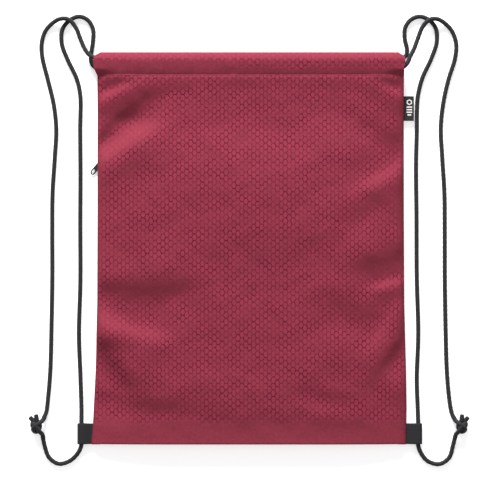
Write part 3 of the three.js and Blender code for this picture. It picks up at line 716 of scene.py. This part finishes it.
def print_faded_by_light(points):
    """How strongly the print shows, from 0 to 1.

    It is lost, as painted shade, on the flanks of folds that face down and right, away from the light, and
    it fades, as a painted highlight, on flanks that face up and left, toward the light. It is also lost in
    the lowest part of the bag, and in the left half of the hem's shaded side."""
    x, y = points[..., 0], points[..., 1]
    across = np.gradient(points, axis=1)
    along = np.gradient(points, axis=0)
    slope_x = across[..., 2] / np.maximum(across[..., 0], 0.05)
    slope_y = along[..., 2] / np.where(np.abs(along[..., 1]) < 0.05, 0.05, along[..., 1])
    toward_upper_left = 0.45 * slope_x - 0.89 * slope_y
    # Painted shade and painted highlight: the print fades on flanks facing away from the light and on
    # flanks facing it.
    flank_light_fade = (smoothstep(toward_upper_left, -0.22, -0.06)
                 * (1 - 0.75 * smoothstep(toward_upper_left, 0.12, 0.4)))
    at_bottom = smoothstep(y + 3 * ripples(x, y * 0.3, 70), -190, -179)
    hem_side = smoothstep(y, 183, 187) * (1 - smoothstep(y, 198, 203))
    return at_bottom * flank_light_fade * mix(1, smoothstep(x, -60, 40), hem_side)


# The front hem's section, as y and z of the outer face of the cloth.
FRONT_HEM = [
    (184.3, 15.8), (185.8, 15.4), (188, 15.6), (190.5, 16.1), (193, 16.5), (196, 16.8), (199, 17.0),
    (201.5, 17.0), (203.3, 16.5), (205, 15.8), (206.6, 14.9), (208, 13.9), (209.2, 12.8), (209.9, 11.8),
    (209.5, 11.0), (208, 10.6), (205, 10.35), (203, 10.3), (198, 10.7), (192.5, 10.5), (188, 11.6),
    (186, 13.2), (185, 14.5), (184.4, 15.2),
]
BACK_HEM = [
    (184.3, 0.45), (188, 0.3), (192.5, 0.2), (203, 0.15), (206.5, 0.45), (208.8, 1.5), (209.8, 3.0),
    (209.3, 4.5), (207.5, 5.55), (203, 5.9), (198, 5.6), (192.5, 5.85), (188, 4.6), (186, 2.6),
    (185, 1.6), (184.4, 1.25),
]
# Where the hems' open ends reach, going from the stitch line over the top and back down,
# as the share of the way and the x there.
HEM_LEFT = ([0, 0.10, 0.16, 0.27, 0.36, 0.41, 0.46, 0.52, 0.60, 1],
            [-163, -165.4, -166.6, -167.1, -166.9, -165, -161, -158, -156.8, -156.8])
HEM_RIGHT = ([0, 0.10, 0.15, 0.20, 0.27, 0.36, 0.41, 0.46, 0.52, 0.60, 1],
             [165, 165.2, 164.2, 165.4, 166.1, 166.2, 164, 160, 158, 156.8, 156.8])


def cloth_grid(front):
    """The points of one side of the bag: from the bottom seam up, over the top, and down inside.

    Returns a grid of points, a grid of UVs, and a grid of print strengths, which carry painted shade and
    painted highlight."""
    # Rows and columns are closer at the edges, where the cloth turns down to the seams.
    edge_steps = np.array([0, 0.25, 0.7, 1.5, 2.7, 4.3, 6.2, 8.4])
    inner = 11
    width, pitch = 332.0, 2.7
    columns = round((width - 2 * inner) / pitch) + 1
    across = np.concatenate([edge_steps, np.linspace(inner, width - inner, columns),
                             width - edge_steps[::-1]]) / width
    panel_y = np.concatenate([edge_steps, np.linspace(inner, HEM_Y - BOTTOM - 2, 144)]) + BOTTOM
    profile = smooth_path(FRONT_HEM if front else BACK_HEM, 1.35)

    y = np.concatenate([panel_y, profile[:, 0]])
    share = np.concatenate([np.zeros(len(panel_y)), np.linspace(0, 1, len(profile))])
    in_hem = np.arange(len(y)) >= len(panel_y)
    left = np.where(in_hem, np.interp(share, *HEM_LEFT), left_edge(y))
    right = np.where(in_hem, np.interp(share, *HEM_RIGHT), right_edge(y))
    window = np.zeros(len(y))
    if not front:
        window = np.minimum(smoothstep(y, WINDOW_LOW_Y, WINDOW_LOW_Y + 11),
                            1 - smoothstep(y, WINDOW_HIGH_Y - 10, WINDOW_HIGH_Y))
        left = mix(left, WINDOW_X, window)

    grid_x = left[:, None] + (right - left)[:, None] * across[None, :]
    grid_y = np.broadcast_to(y[:, None], grid_x.shape).copy()
    side = np.minimum(grid_x - left[:, None], right[:, None] - grid_x)
    bottom = grid_y - BOTTOM
    if front:
        panel_z = front_height(grid_x, np.minimum(grid_y, HEM_Y), side, bottom)
        end_z = np.interp(y, [184.3, 187, 189.5, 191.5, 203, 207, 210],
                          [10.6, 12.4, 14.8, 16.3, 16.5, 14.6, 12.0])
    else:
        off_floor = 0.12
        # Along the zip the left edge lies low, with the zip's tape over it.
        at_zip = window[:, None] * (1 - smoothstep(grid_x, -80, 80))
        edge_z = mix(seam_height(grid_x, grid_y) - 0.9, 0.9, at_zip)
        lifted = (np.abs(folded(grid_x, grid_y, BACK_FLANKS))
                  + off_floor * (1 + ripples(grid_x, grid_y, 80)))
        panel_z = (off_floor + edge_z * (1 - roll(side, bottom))
                   + rise(side, 20) * rise(bottom, 20) * lifted)
        end_z = np.interp(y, [184.3, 186.5, 188.5, 190, 203, 207, 210],
                          [7.4, 3.5, 1.2, 0.3, 0.2, 1.0, 3.0])
    # The hem keeps its section, but for its open ends, which droop.
    hem_z = np.concatenate([np.full(len(panel_y), profile[0, 1]), profile[:, 1]])
    outer = 1 - smoothstep(share, 0.40, 0.5)
    # The inner layer only follows the outer one down at the stitch line, below the cords.
    inner_foot = (share > 0.5) * (1 - smoothstep(y, 186.5, 190))
    end_z -= (0.65 if front else -0.65) * inner_foot
    droop = (1 - rise(side, 26)) * np.maximum(outer, inner_foot)[:, None]
    hem_grid_z = mix(hem_z[:, None], end_z[:, None], droop)
    into_hem = np.where(share > 0.45, 1, smoothstep(y, 168, 187))
    grid_z = mix(panel_z, hem_grid_z, into_hem[:, None])

    # The stitch line pulls the cloth down in small puckers.
    outward = 1 if front else -1
    stitched, near_stitches = (np.exp(-((grid_y - STITCH_Y) / reach) ** 2) * outer[:, None]
                               for reach in (1.3, 7))
    depth = 0.55 if front else 0.15
    grid_z = grid_z - outward * depth * stitched * rise(side, 6)
    if front:
        grid_z += 0.3 * near_stitches * rise(side, 12) * ripples(grid_x, grid_y * 0.4, 13)
        hem_wave = outer[:, None] * smoothstep(grid_y, 188, 196) * rise(side, 12)
        grid_z += 0.22 * hem_wave * ripples(grid_x, grid_y, 42)

    along = distance_along(np.stack([y, np.where(in_hem, hem_z, hem_z[0])], axis=1))
    uv = np.stack([grid_x, np.broadcast_to(along[:, None], grid_x.shape)], axis=2)
    points = np.stack([grid_x, grid_y, grid_z], axis=2)
    # The print strength fades the print by the slope toward the light: painted shade and painted
    # highlight.
    strength = np.pad(print_faded_by_light(points), ((2, 0), (2, 2)), mode="edge")
    return *turned_in(points, uv, in_hem, hem_z, outward), strength


def turned_in(points, uv, in_hem, hem_z, outward):
    """Add the turned-in edges to the grids: two columns down each side, and two rows at the bottom.

    The first is just inside the edge and the second where the turned cloth ends."""
    y = points[:, 0, 1]
    hem_normal = np.gradient(np.stack([y, hem_z], axis=1), axis=0)
    hem_normal = np.stack([hem_normal[:, 1], -hem_normal[:, 0]], axis=1)
    hem_normal /= np.linalg.norm(hem_normal, axis=1)[:, None] + 1e-9
    inward = np.where(in_hem[:, None], hem_normal, (0, -1.0)) * outward
    front = outward > 0
    for edge, sign in ((0, 1), (-1, -1)):
        # Along the zip, which is in the left edge, less cloth is turned in.
        narrow = zip_range(y) if edge == 0 else np.zeros(len(y))
        reach = np.where(in_hem, 5.0, mix(ALLOWANCE, 2.9 if front else 7.0, narrow))
        drop = np.where(in_hem, 0.85, mix(TURN_DROP, 1.9 if front else 0.5, narrow))
        rim, rim_uv = points[:, edge], uv[:, edge]
        for inset, uv_inset in ((0.2, 0.5), (reach, ALLOWANCE)):
            column = rim.copy()
            column[:, 0] += sign * inset
            column[:, 1:] += inward * drop[:, None]
            column_uv = rim_uv - (sign * uv_inset, 0)
            points = np.concatenate([column[:, None], points][::sign], axis=1)
            uv = np.concatenate([column_uv[:, None], uv][::sign], axis=1)
    rim, rim_uv = points[:1], uv[:1]
    for inset, uv_inset in ((0.2, 0.5), (ALLOWANCE, ALLOWANCE)):
        points = np.concatenate([rim + (0, inset, -outward * TURN_DROP), points])
        uv = np.concatenate([rim_uv - (0, uv_inset), uv])
    return points, uv


def make_sheet(name, front):
    points, uv, strength = cloth_grid(front)
    rows, columns = points.shape[:2]
    faces = grid_faces(rows, columns)
    if not front:
        faces = flipped(faces)
    piece = mesh_piece(name, points.reshape(-1, 3), faces, uv.reshape(-1, 2))
    # This attribute carries painted shade and painted highlight, which fade the print on the folds.
    attribute = piece.data.attributes.new("print_strength_with_painted_light", "FLOAT", "POINT")
    attribute.data.foreach_set("value", strength.ravel().astype(np.float32))
    apply_modifier(piece, "SOLIDIFY", thickness=sizes().cloth, offset=-1, use_even_offset=False)
    bpy.ops.object.shade_smooth_by_angle(angle=math.radians(40))
    return piece


# ---- the operators ----
class StageOperator(Operator):
    """Set up the floor, the lights and the camera"""
    bl_idname = "drawstring_bag.stage"
    bl_label = "Stage"

    def execute(self, context):
        settings = studio()
        floor = primitive(bpy.ops.mesh.primitive_plane_add, "floor", size=16)
        # Lit matt paper: white with no gloss, and an even glow from below.
        finish, tree, shader = new_material("matt_white_paper")
        place = add_node(tree, "TexCoord").outputs["Object"]
        pulp = add_node(tree, "TexNoise", {"Vector": place, "Scale": 40.0})
        set_inputs(tree, shader, {
            "Normal": add_node(tree, "Bump", {"Height": pulp, "Strength": 0.02, "Distance": 0.0005}),
            "Base Color": rgba(linear("FAFAFA")), "Emission Color": (1, 1, 1, 1),
            "Emission Strength": settings.floor_glow, "Roughness": 0.9, "Specular IOR Level": 0.1})
        floor.data.materials.append(finish)

        lights = (
            ("key_softbox", (-0.6, 3.75, 1.6), (1.8, 1.1), settings.key_power),
            ("fill_softbox", (0.4, -0.4, 3.2), (2.6, 2.6), settings.fill_power),
        )
        for name, place, size, power in lights:
            data = bpy.data.lights.new(name, "AREA")
            data.shape = "RECTANGLE"
            data.size, data.size_y = size
            data.energy = power
            light = new_object(name, data)
            light.location = place
            light.rotation_euler = (-Vector(place)).to_track_quat("-Z", "Y").to_euler()
        world = bpy.data.worlds.new("even_white_surround")
        world.use_nodes = True
        tree = world.node_tree
        # The camera sees plain white past the floor, and the bag gets the dimmer surround.
        to_camera = add_node(tree, "LightPath").outputs["Is Camera Ray"]
        strength = add_node(tree, "MapRange", {"Value": to_camera, 3: settings.surround, 4: 1.0})
        set_inputs(tree, tree.nodes["Background"], {"Color": (1, 1, 1, 1), "Strength": strength})
        context.scene.world = world
        context.scene.view_settings.view_transform = "Standard"

        camera_data = bpy.data.cameras.new("camera")
        camera_data.sensor_width = 36
        camera_data.lens = camera_data.sensor_width * settings.camera_height / settings.view_width
        camera = new_object("camera", camera_data)
        camera.location = (0.00027, 0.0035, settings.camera_height)
        context.scene.camera = camera
        return {"FINISHED"}


class CordsOperator(Operator):
    """Braid both drawcords, run them through the hems and knot them"""
    bl_idname = "drawstring_bag.cords"
    bl_label = "Drawcords"

    def execute(self, context):
        diameter = sizes().cord
        radius = diameter / 2 / MM
        plait = sizes().plait / MM
        knots = {side: self.knot(side, radius, plait) for side in ("left", "right")}
        for (side, strand), route in STRANDS.items():
            path = smooth_path(route, 0.65)
            piece = mesh_piece(f"{side}_{strand}_cord", *braided_tube(path, radius, 24, plait))
            dress(piece, cord_material(), replaced=[f"{side}_cord_{strand}_strand"])
        for side, sign, front_y, back_y in (("left", 1, UPPER_CORD_Y, LOWER_CORD_Y),
                                            ("right", -1, LOWER_CORD_Y, UPPER_CORD_Y)):
            path = smooth_path(hem_route(sign, front_y, back_y), 1.1)
            piece = mesh_piece(f"{side}_cord_through_hems", *braided_tube(path, radius, 20, plait))
            dress(piece, cord_material(), replaced=[f"{side}_cord_in_hem"])
        return {"FINISHED"}

    @staticmethod
    def knot(side, radius, plait):
        """Both strands tied together in one overhand knot, with two cut tails."""
        tubes = [braided_tube(smooth_path(route, 0.55), radius * 1.05, 20, plait)
                 for route in KNOTS[side]]
        points, faces = joined([tube[:2] for tube in tubes])
        piece = mesh_piece(f"{side}_knot", points, faces, np.vstack([tube[2] for tube in tubes]))
        dress(piece, cord_material(), replaced=[f"{side}_cord_knot"])
        return piece


class PanelsOperator(Operator):
    """Cut, shape and fold the front and back of the bag with their hems"""
    bl_idname = "drawstring_bag.panels"
    bl_label = "Front and back"

    def execute(self, context):
        for name, front, nodes in (("front_sheet", True, ("front_panel", "front_channel")),
                                   ("back_sheet", False, ("back_panel", "back_channel"))):
            piece = make_sheet(name, front)
            dress(piece, material(printed_polyester, "printed_woven_polyester"),
                  replaced=nodes)
        return {"FINISHED"}


class StitchesOperator(Operator):
    """Sew the hems with a row of stitches on the front and the back"""
    bl_idname = "drawstring_bag.stitches"
    bl_label = "Hem stitches"

    def execute(self, context):
        pitch = sizes().stitch / MM
        shape, faces = primitive_shape(bpy.ops.mesh.primitive_uv_sphere_add, segments=8, ring_count=6,
                                       radius=0.5, rotation=(0, math.pi / 2, 0))
        # A stitch's length, width and height.
        shape = shape * (pitch * 0.8, 0.55, 0.5)
        well_outside, proud = 40, 0.05
        finish = material(thread_finish, "spun_polyester_thread", colours().thread)
        for side, direction in (("front", -1), ("back", 1)):
            sheet = bpy.data.objects[f"{side}_sheet"]
            surface = BVHTree.FromObject(sheet, context.evaluated_depsgraph_get())
            stitches = []
            for x in np.arange(-160, 161, pitch):
                origin = Vector((x, STITCH_Y, -direction * well_outside)) * MM
                hit, normal, _, _ = surface.ray_cast(origin, Vector((0, 0, direction)))
                if hit is None:
                    continue
                along = Vector((1, 0, 0)) - normal * normal.x
                along.normalize()
                turn = np.array([along, normal.cross(along), normal]).T
                place = np.array(hit) / MM + np.array(normal) * proud
                stitches.append((shape @ turn.T + place, faces))
            piece = mesh_piece(f"{side}_hem_stitches", *joined(stitches))
            dress(piece, finish)
        return {"FINISHED"}


class SeamsOperator(Operator):
    """Overlock the seam allowances that are turned to the inside"""
    bl_idname = "drawstring_bag.seams"
    bl_label = "Seam allowances"

    def execute(self, context):
        finish = material(woven_cloth, "overlocked_polyester", colours().thread, 0.0008)
        # Each allowance is a flat oval tube, whose edge waves a little with the overlock's stitches.
        inset, bottom_inset = 8.2, 1.5
        half_width, half_height = 2.1, 0.6
        sides = 10
        angles = np.linspace(0, 2 * math.pi, sides, endpoint=False)
        for node in ("left_seam_upper", "left_seam_lower", "right_seam", "bottom_seam"):
            low, high = box_mm(node)
            middle = (low + high) / 2
            bottom = node == "bottom_seam"
            line = np.linspace(low[0], high[0], 120) if bottom else np.linspace(low[1], high[1], 90)
            across = np.array([0, 1, 0] if bottom else [1, 0, 0])
            points, uv = [], []
            for t in line:
                if bottom:
                    centre = np.array([t, middle[1] + bottom_inset, middle[2]])
                else:
                    edge = left_edge(t) + inset if node.startswith("left") else right_edge(t) - inset
                    centre = np.array([edge, t, float(seam_height(edge, t))])
                wave = 0.12 * math.sin(t * 2.1)
                for angle in angles:
                    height = (half_height + wave * 0.3) * math.sin(angle)
                    points.append(centre + across * (half_width * math.cos(angle) + wave)
                                  + np.array([0, 0, height]))
                    uv.append((angle, t))
            last = (len(line) - 1) * sides
            faces = [*grid_faces(len(line), sides, wrap=True), tuple(reversed(range(sides))),
                     tuple(range(last, last + sides))]
            piece = mesh_piece(f"{node}_overlock", points, faces if bottom else flipped(faces), uv)
            dress(piece, finish, replaced=[node])
        return {"FINISHED"}


class CornerTabsOperator(Operator):
    """Fold the two webbing loops that the cords run through"""
    bl_idname = "drawstring_bag.corner_tabs"
    bl_label = "Corner loops"

    def execute(self, context):
        finish = material(woven_cloth, "woven_webbing", colours().webbing, 0.0011)
        thickness = sizes().webbing / MM
        for side, sign in (("left", -1), ("right", 1)):
            node = f"{side}_corner_tab"
            low, high = box_mm(node)
            reach = max(abs(low[0]), abs(high[0]))
            root = min(abs(low[0]), abs(high[0])) - 5
            middle = (high[2] - low[2]) / 2 - thickness / 2
            fold = reach - thickness / 2 - middle
            layer = thickness / 2 + 0.03
            # The layers lie close at the seam, and open out round the cord.
            start = [(root, TAB_CORD_Z + layer), (root + 4, TAB_CORD_Z + layer),
                     (root + 6.5, TAB_CORD_Z + layer + 0.15), (fold - 3.4, TAB_CORD_Z + middle - 0.25)]
            arc = [(fold + middle * math.sin(a), TAB_CORD_Z + middle * math.cos(a))
                   for a in np.linspace(0.12, math.pi - 0.12, 9)]
            end = [(x, 2 * TAB_CORD_Z - z) for x, z in reversed(start)]
            # The strip is made facing the same way on both sides.
            line = (smooth_path([*start, *arc, *end], 0.7) * (sign, 1))[::-sign]
            piece = mesh_piece(f"{side}_webbing_loop", *strip(line, low[1], high[1], thickness, 1.1))
            dress(piece, finish, replaced=[node])
        return {"FINISHED"}


class ZipOperator(Operator):
    """Make the side pocket's zip: tapes, coils, stops, slider and pull"""
    bl_idname = "drawstring_bag.zip"
    bl_label = "Side zip"

    def execute(self, context):
        tape = material(woven_cloth, "woven_zip_tape", colours().tape, 0.0006)
        nylon = material(hard_finish, "moulded_nylon_coil", colours().tape, 0.0, 0.45)
        paint = material(hard_finish, "painted_zinc", colours().metal, 0.25, 0.4)
        rim = material(hard_finish, "bare_zinc", colours().rim, 1.0, 0.35)

        inner_tape = [(-155.2, 5.35), (-150, 5.3), (-146.6, 3.4), (-143, 1.9), (-136, 1.8)]
        for name, line in (("outer", [(-162.6, 5.35), (-156.8, 5.35)]), ("inner", inner_tape)):
            low, high = box_mm(f"zip_tape_{name}")
            piece = mesh_piece(f"zip_{name}_tape",
                               *strip(smooth_path(line, 0.7), low[1], high[1], TAPE_THICKNESS, 2.5))
            dress(piece, tape, replaced=[f"zip_tape_{name}"])

        # The coils are turns of monofilament, and each turn leans a little.
        lean, half_turn = 0.25, 0.42
        for name, sign in (("outer", -1), ("inner", 1)):
            low, high = box_mm(f"zip_coil_{name}")
            half = (high - low) / 2
            centre = (low + high) / 2
            shape, faces = primitive_shape(bpy.ops.mesh.primitive_torus_add, major_segments=12,
                                           minor_segments=6, major_radius=1, minor_radius=0.36,
                                           rotation=(math.pi / 2, 0, lean * sign))
            shape *= (half[0], half_turn, half[2]) / np.abs(shape).max(axis=0)
            turns = [(shape + (centre[0], y, centre[2]), faces)
                     for y in np.arange(low[1] + 0.5, high[1] - 0.4, sizes().tooth / MM)]
            piece = mesh_piece(f"zip_{name}_coil", *joined(turns))
            dress(piece, nylon, replaced=[f"zip_coil_{name}"])

        for name in ("zip_top_stop_outer", "zip_top_stop_inner", "zip_bottom_stop", "zip_slider",
                     "zip_pull"):
            body = {"zip_slider": "slider", "zip_pull": "pull"}.get(name, "bag")
            piece = self.bevelled_copy(name, 0.16 if body == "bag" else 0.14)
            dress(piece, paint, body, [name])

        # The rim of the pull's oval hole.
        low, high = box_mm("zip_pull")
        angle = math.radians(40)
        pivot_x, pivot_y = -156, 96.4
        pull_length, end_radius, hole_shift = 22, 2.7, 0.8
        reach = pull_length - end_radius - hole_shift
        hole = (pivot_x - reach * math.sin(angle), pivot_y - reach * math.cos(angle))
        piece = primitive(bpy.ops.mesh.primitive_torus_add, "zip_pull_rim", major_segments=28,
                          minor_segments=8, major_radius=1.62 * MM, minor_radius=0.3 * MM)
        piece.scale = (0.95, 1.42, 1.0)
        piece.rotation_euler = (0, 0, -angle)
        piece.location = Vector((*hole, (low[2] + high[2]) / 2 + 0.35)) * MM
        bpy.ops.object.transform_apply()
        piece.data.shade_smooth()
        dress(piece, rim, "pull")
        return {"FINISHED"}

    @staticmethod
    def bevelled_copy(node, width):
        """A copy of a solid with its edges rounded."""
        piece = new_object(f"{node}_finished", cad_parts[node].data.copy())
        select_only(piece)
        bpy.ops.object.mode_set(mode="EDIT")
        bpy.ops.mesh.select_all(action="SELECT")
        bpy.ops.mesh.remove_doubles(threshold=0.00001)
        bpy.ops.mesh.normals_make_consistent(inside=False)
        bpy.ops.mesh.dissolve_limited(angle_limit=math.radians(2))
        bpy.ops.object.mode_set(mode="OBJECT")
        apply_modifier(piece, "BEVEL", width=width * MM, segments=2, limit_method="ANGLE",
                       angle_limit=math.radians(40))
        bpy.ops.object.shade_smooth_by_angle(angle=math.radians(35))
        return piece


class PocketOperator(Operator):
    """Lay the two layers of the side pocket's lining inside the bag"""
    bl_idname = "drawstring_bag.pocket"
    bl_label = "Pocket lining"

    def execute(self, context):
        finish = material(woven_cloth, "plain_woven_lining", colours().lining, 0.0005)

        def lift(x, y):
            """Soft waves, in the part that isn't held by the zip."""
            return 0.15 * smoothstep(x, -130, -110) * ripples(x, y, 45)

        lines = {
            "pocket_lining_back": [(-143, 2.55), (-120, 2.6), (-60, 2.5), (-20, 2.6)],
            "pocket_lining_front": [(-160, 7.2), (-152, 7.25), (-147, 7.0), (-141, 5.2), (-135, 3.9),
                                    (-120, 3.75), (-60, 3.7), (-20, 3.75)],
        }
        for node, line in lines.items():
            low, high = box_mm(node)
            piece = mesh_piece(f"{node}_sheet",
                               *strip(smooth_path(line, 3), low[1], high[1], LINING_THICKNESS, 4, lift))
            dress(piece, finish, replaced=[node])
        return {"FINISHED"}


class LabelOperator(Operator):
    """Fold the side label and weave its plain mark"""
    bl_idname = "drawstring_bag.label"
    bl_label = "Side label"

    def execute(self, context):
        ground = material(woven_cloth, "woven_label_tape", colours().label, 0.0004)
        white = material(thread_finish, "raised_label_thread", colours().mark)
        low, high = box_mm("side_label")
        middle = (low[2] + high[2]) / 2
        layer = 0.2
        start = [(low[0] - 3, middle + layer), (low[0] + 4, middle + layer + 0.05),
                 (high[0] - 1.2, middle + layer)]
        fold = [(high[0] - 0.2, middle + 0.12), (high[0] - 0.2, middle - 0.12)]
        end = [(x, 2 * middle - z) for x, z in reversed(start)]
        line = smooth_path([*start, *fold, *end], 0.35)
        piece = mesh_piece("woven_label", *strip(line[::-1], low[1], high[1], LABEL_THICKNESS, 0.9))
        dress(piece, ground, "label", ["side_label"])

        # The mark: a six-sided ring, and four bars below it.
        top = middle + layer + LABEL_THICKNESS / 2
        centre_x = (low[0] + high[0]) / 2 + 0.4
        mark = primitive(bpy.ops.mesh.primitive_circle_add, "label_mark", vertices=6, radius=3.2 * MM,
                         fill_type="NGON",
                         location=(centre_x * MM, (high[1] - 6.4) * MM, top * MM))
        bpy.ops.object.mode_set(mode="EDIT")
        bpy.ops.mesh.select_all(action="SELECT")
        bpy.ops.mesh.inset(thickness=1.1 * MM)
        bpy.ops.mesh.delete(type="FACE")
        for down, half in ((11.6, 3.0), (14.4, 3.0), (17.2, 3.0), (20, 2.0)):
            bpy.ops.mesh.primitive_plane_add(
                size=2 * MM, location=(centre_x * MM, (high[1] - down) * MM, top * MM))
            bpy.ops.transform.resize(value=(half, 0.7, 1))
        bpy.ops.mesh.select_all(action="SELECT")
        bpy.ops.mesh.subdivide(number_cuts=2)
        bpy.ops.object.mode_set(mode="OBJECT")
        bpy.ops.object.transform_apply()
        apply_modifier(mark, "SOLIDIFY", thickness=0.1 * MM, offset=1)
        apply_modifier(mark, "BEVEL", width=0.04 * MM, segments=2, limit_method="ANGLE",
                       angle_limit=math.radians(40))
        dress(mark, white, "label")
        return {"FINISHED"}


class BagPanel(Panel):
    """Lists the bag's pieces in the sidebar"""
    bl_idname = "VIEW3D_PT_drawstring_bag"
    bl_label = "Drawstring backpack"
    bl_space_type = "VIEW_3D"
    bl_region_type = "UI"
    bl_category = "Drawstring bag"

    def draw(self, context):
        for operator in OPERATORS:
            self.layout.operator(operator.bl_idname)
        for heading, group in (("Sizes", sizes()), ("Colours", colours()), ("Studio", studio())):
            column = self.layout.column(heading=heading)
            for name in group.__annotations__:
                column.prop(group, name)


OPERATORS = (StageOperator, CordsOperator, PanelsOperator, StitchesOperator, SeamsOperator,
             CornerTabsOperator, ZipOperator, PocketOperator, LabelOperator)
GROUPS = {"bag_sizes": BagSizes, "bag_colours": BagColours, "bag_studio": BagStudio}


def register():
    for item in (*GROUPS.values(), *OPERATORS, BagPanel):
        bpy.utils.register_class(item)
    for name, group in GROUPS.items():
        setattr(bpy.types.Scene, name, PointerProperty(type=group))


def unregister():
    for name in GROUPS:
        delattr(bpy.types.Scene, name)
    for item in reversed((*GROUPS.values(), *OPERATORS, BagPanel)):
        bpy.utils.unregister_class(item)


def main():
    register()
    for operator in OPERATORS:
        getattr(bpy.ops.drawstring_bag, operator.bl_idname.split(".")[1])()


if __name__ == "__main__":
    main()
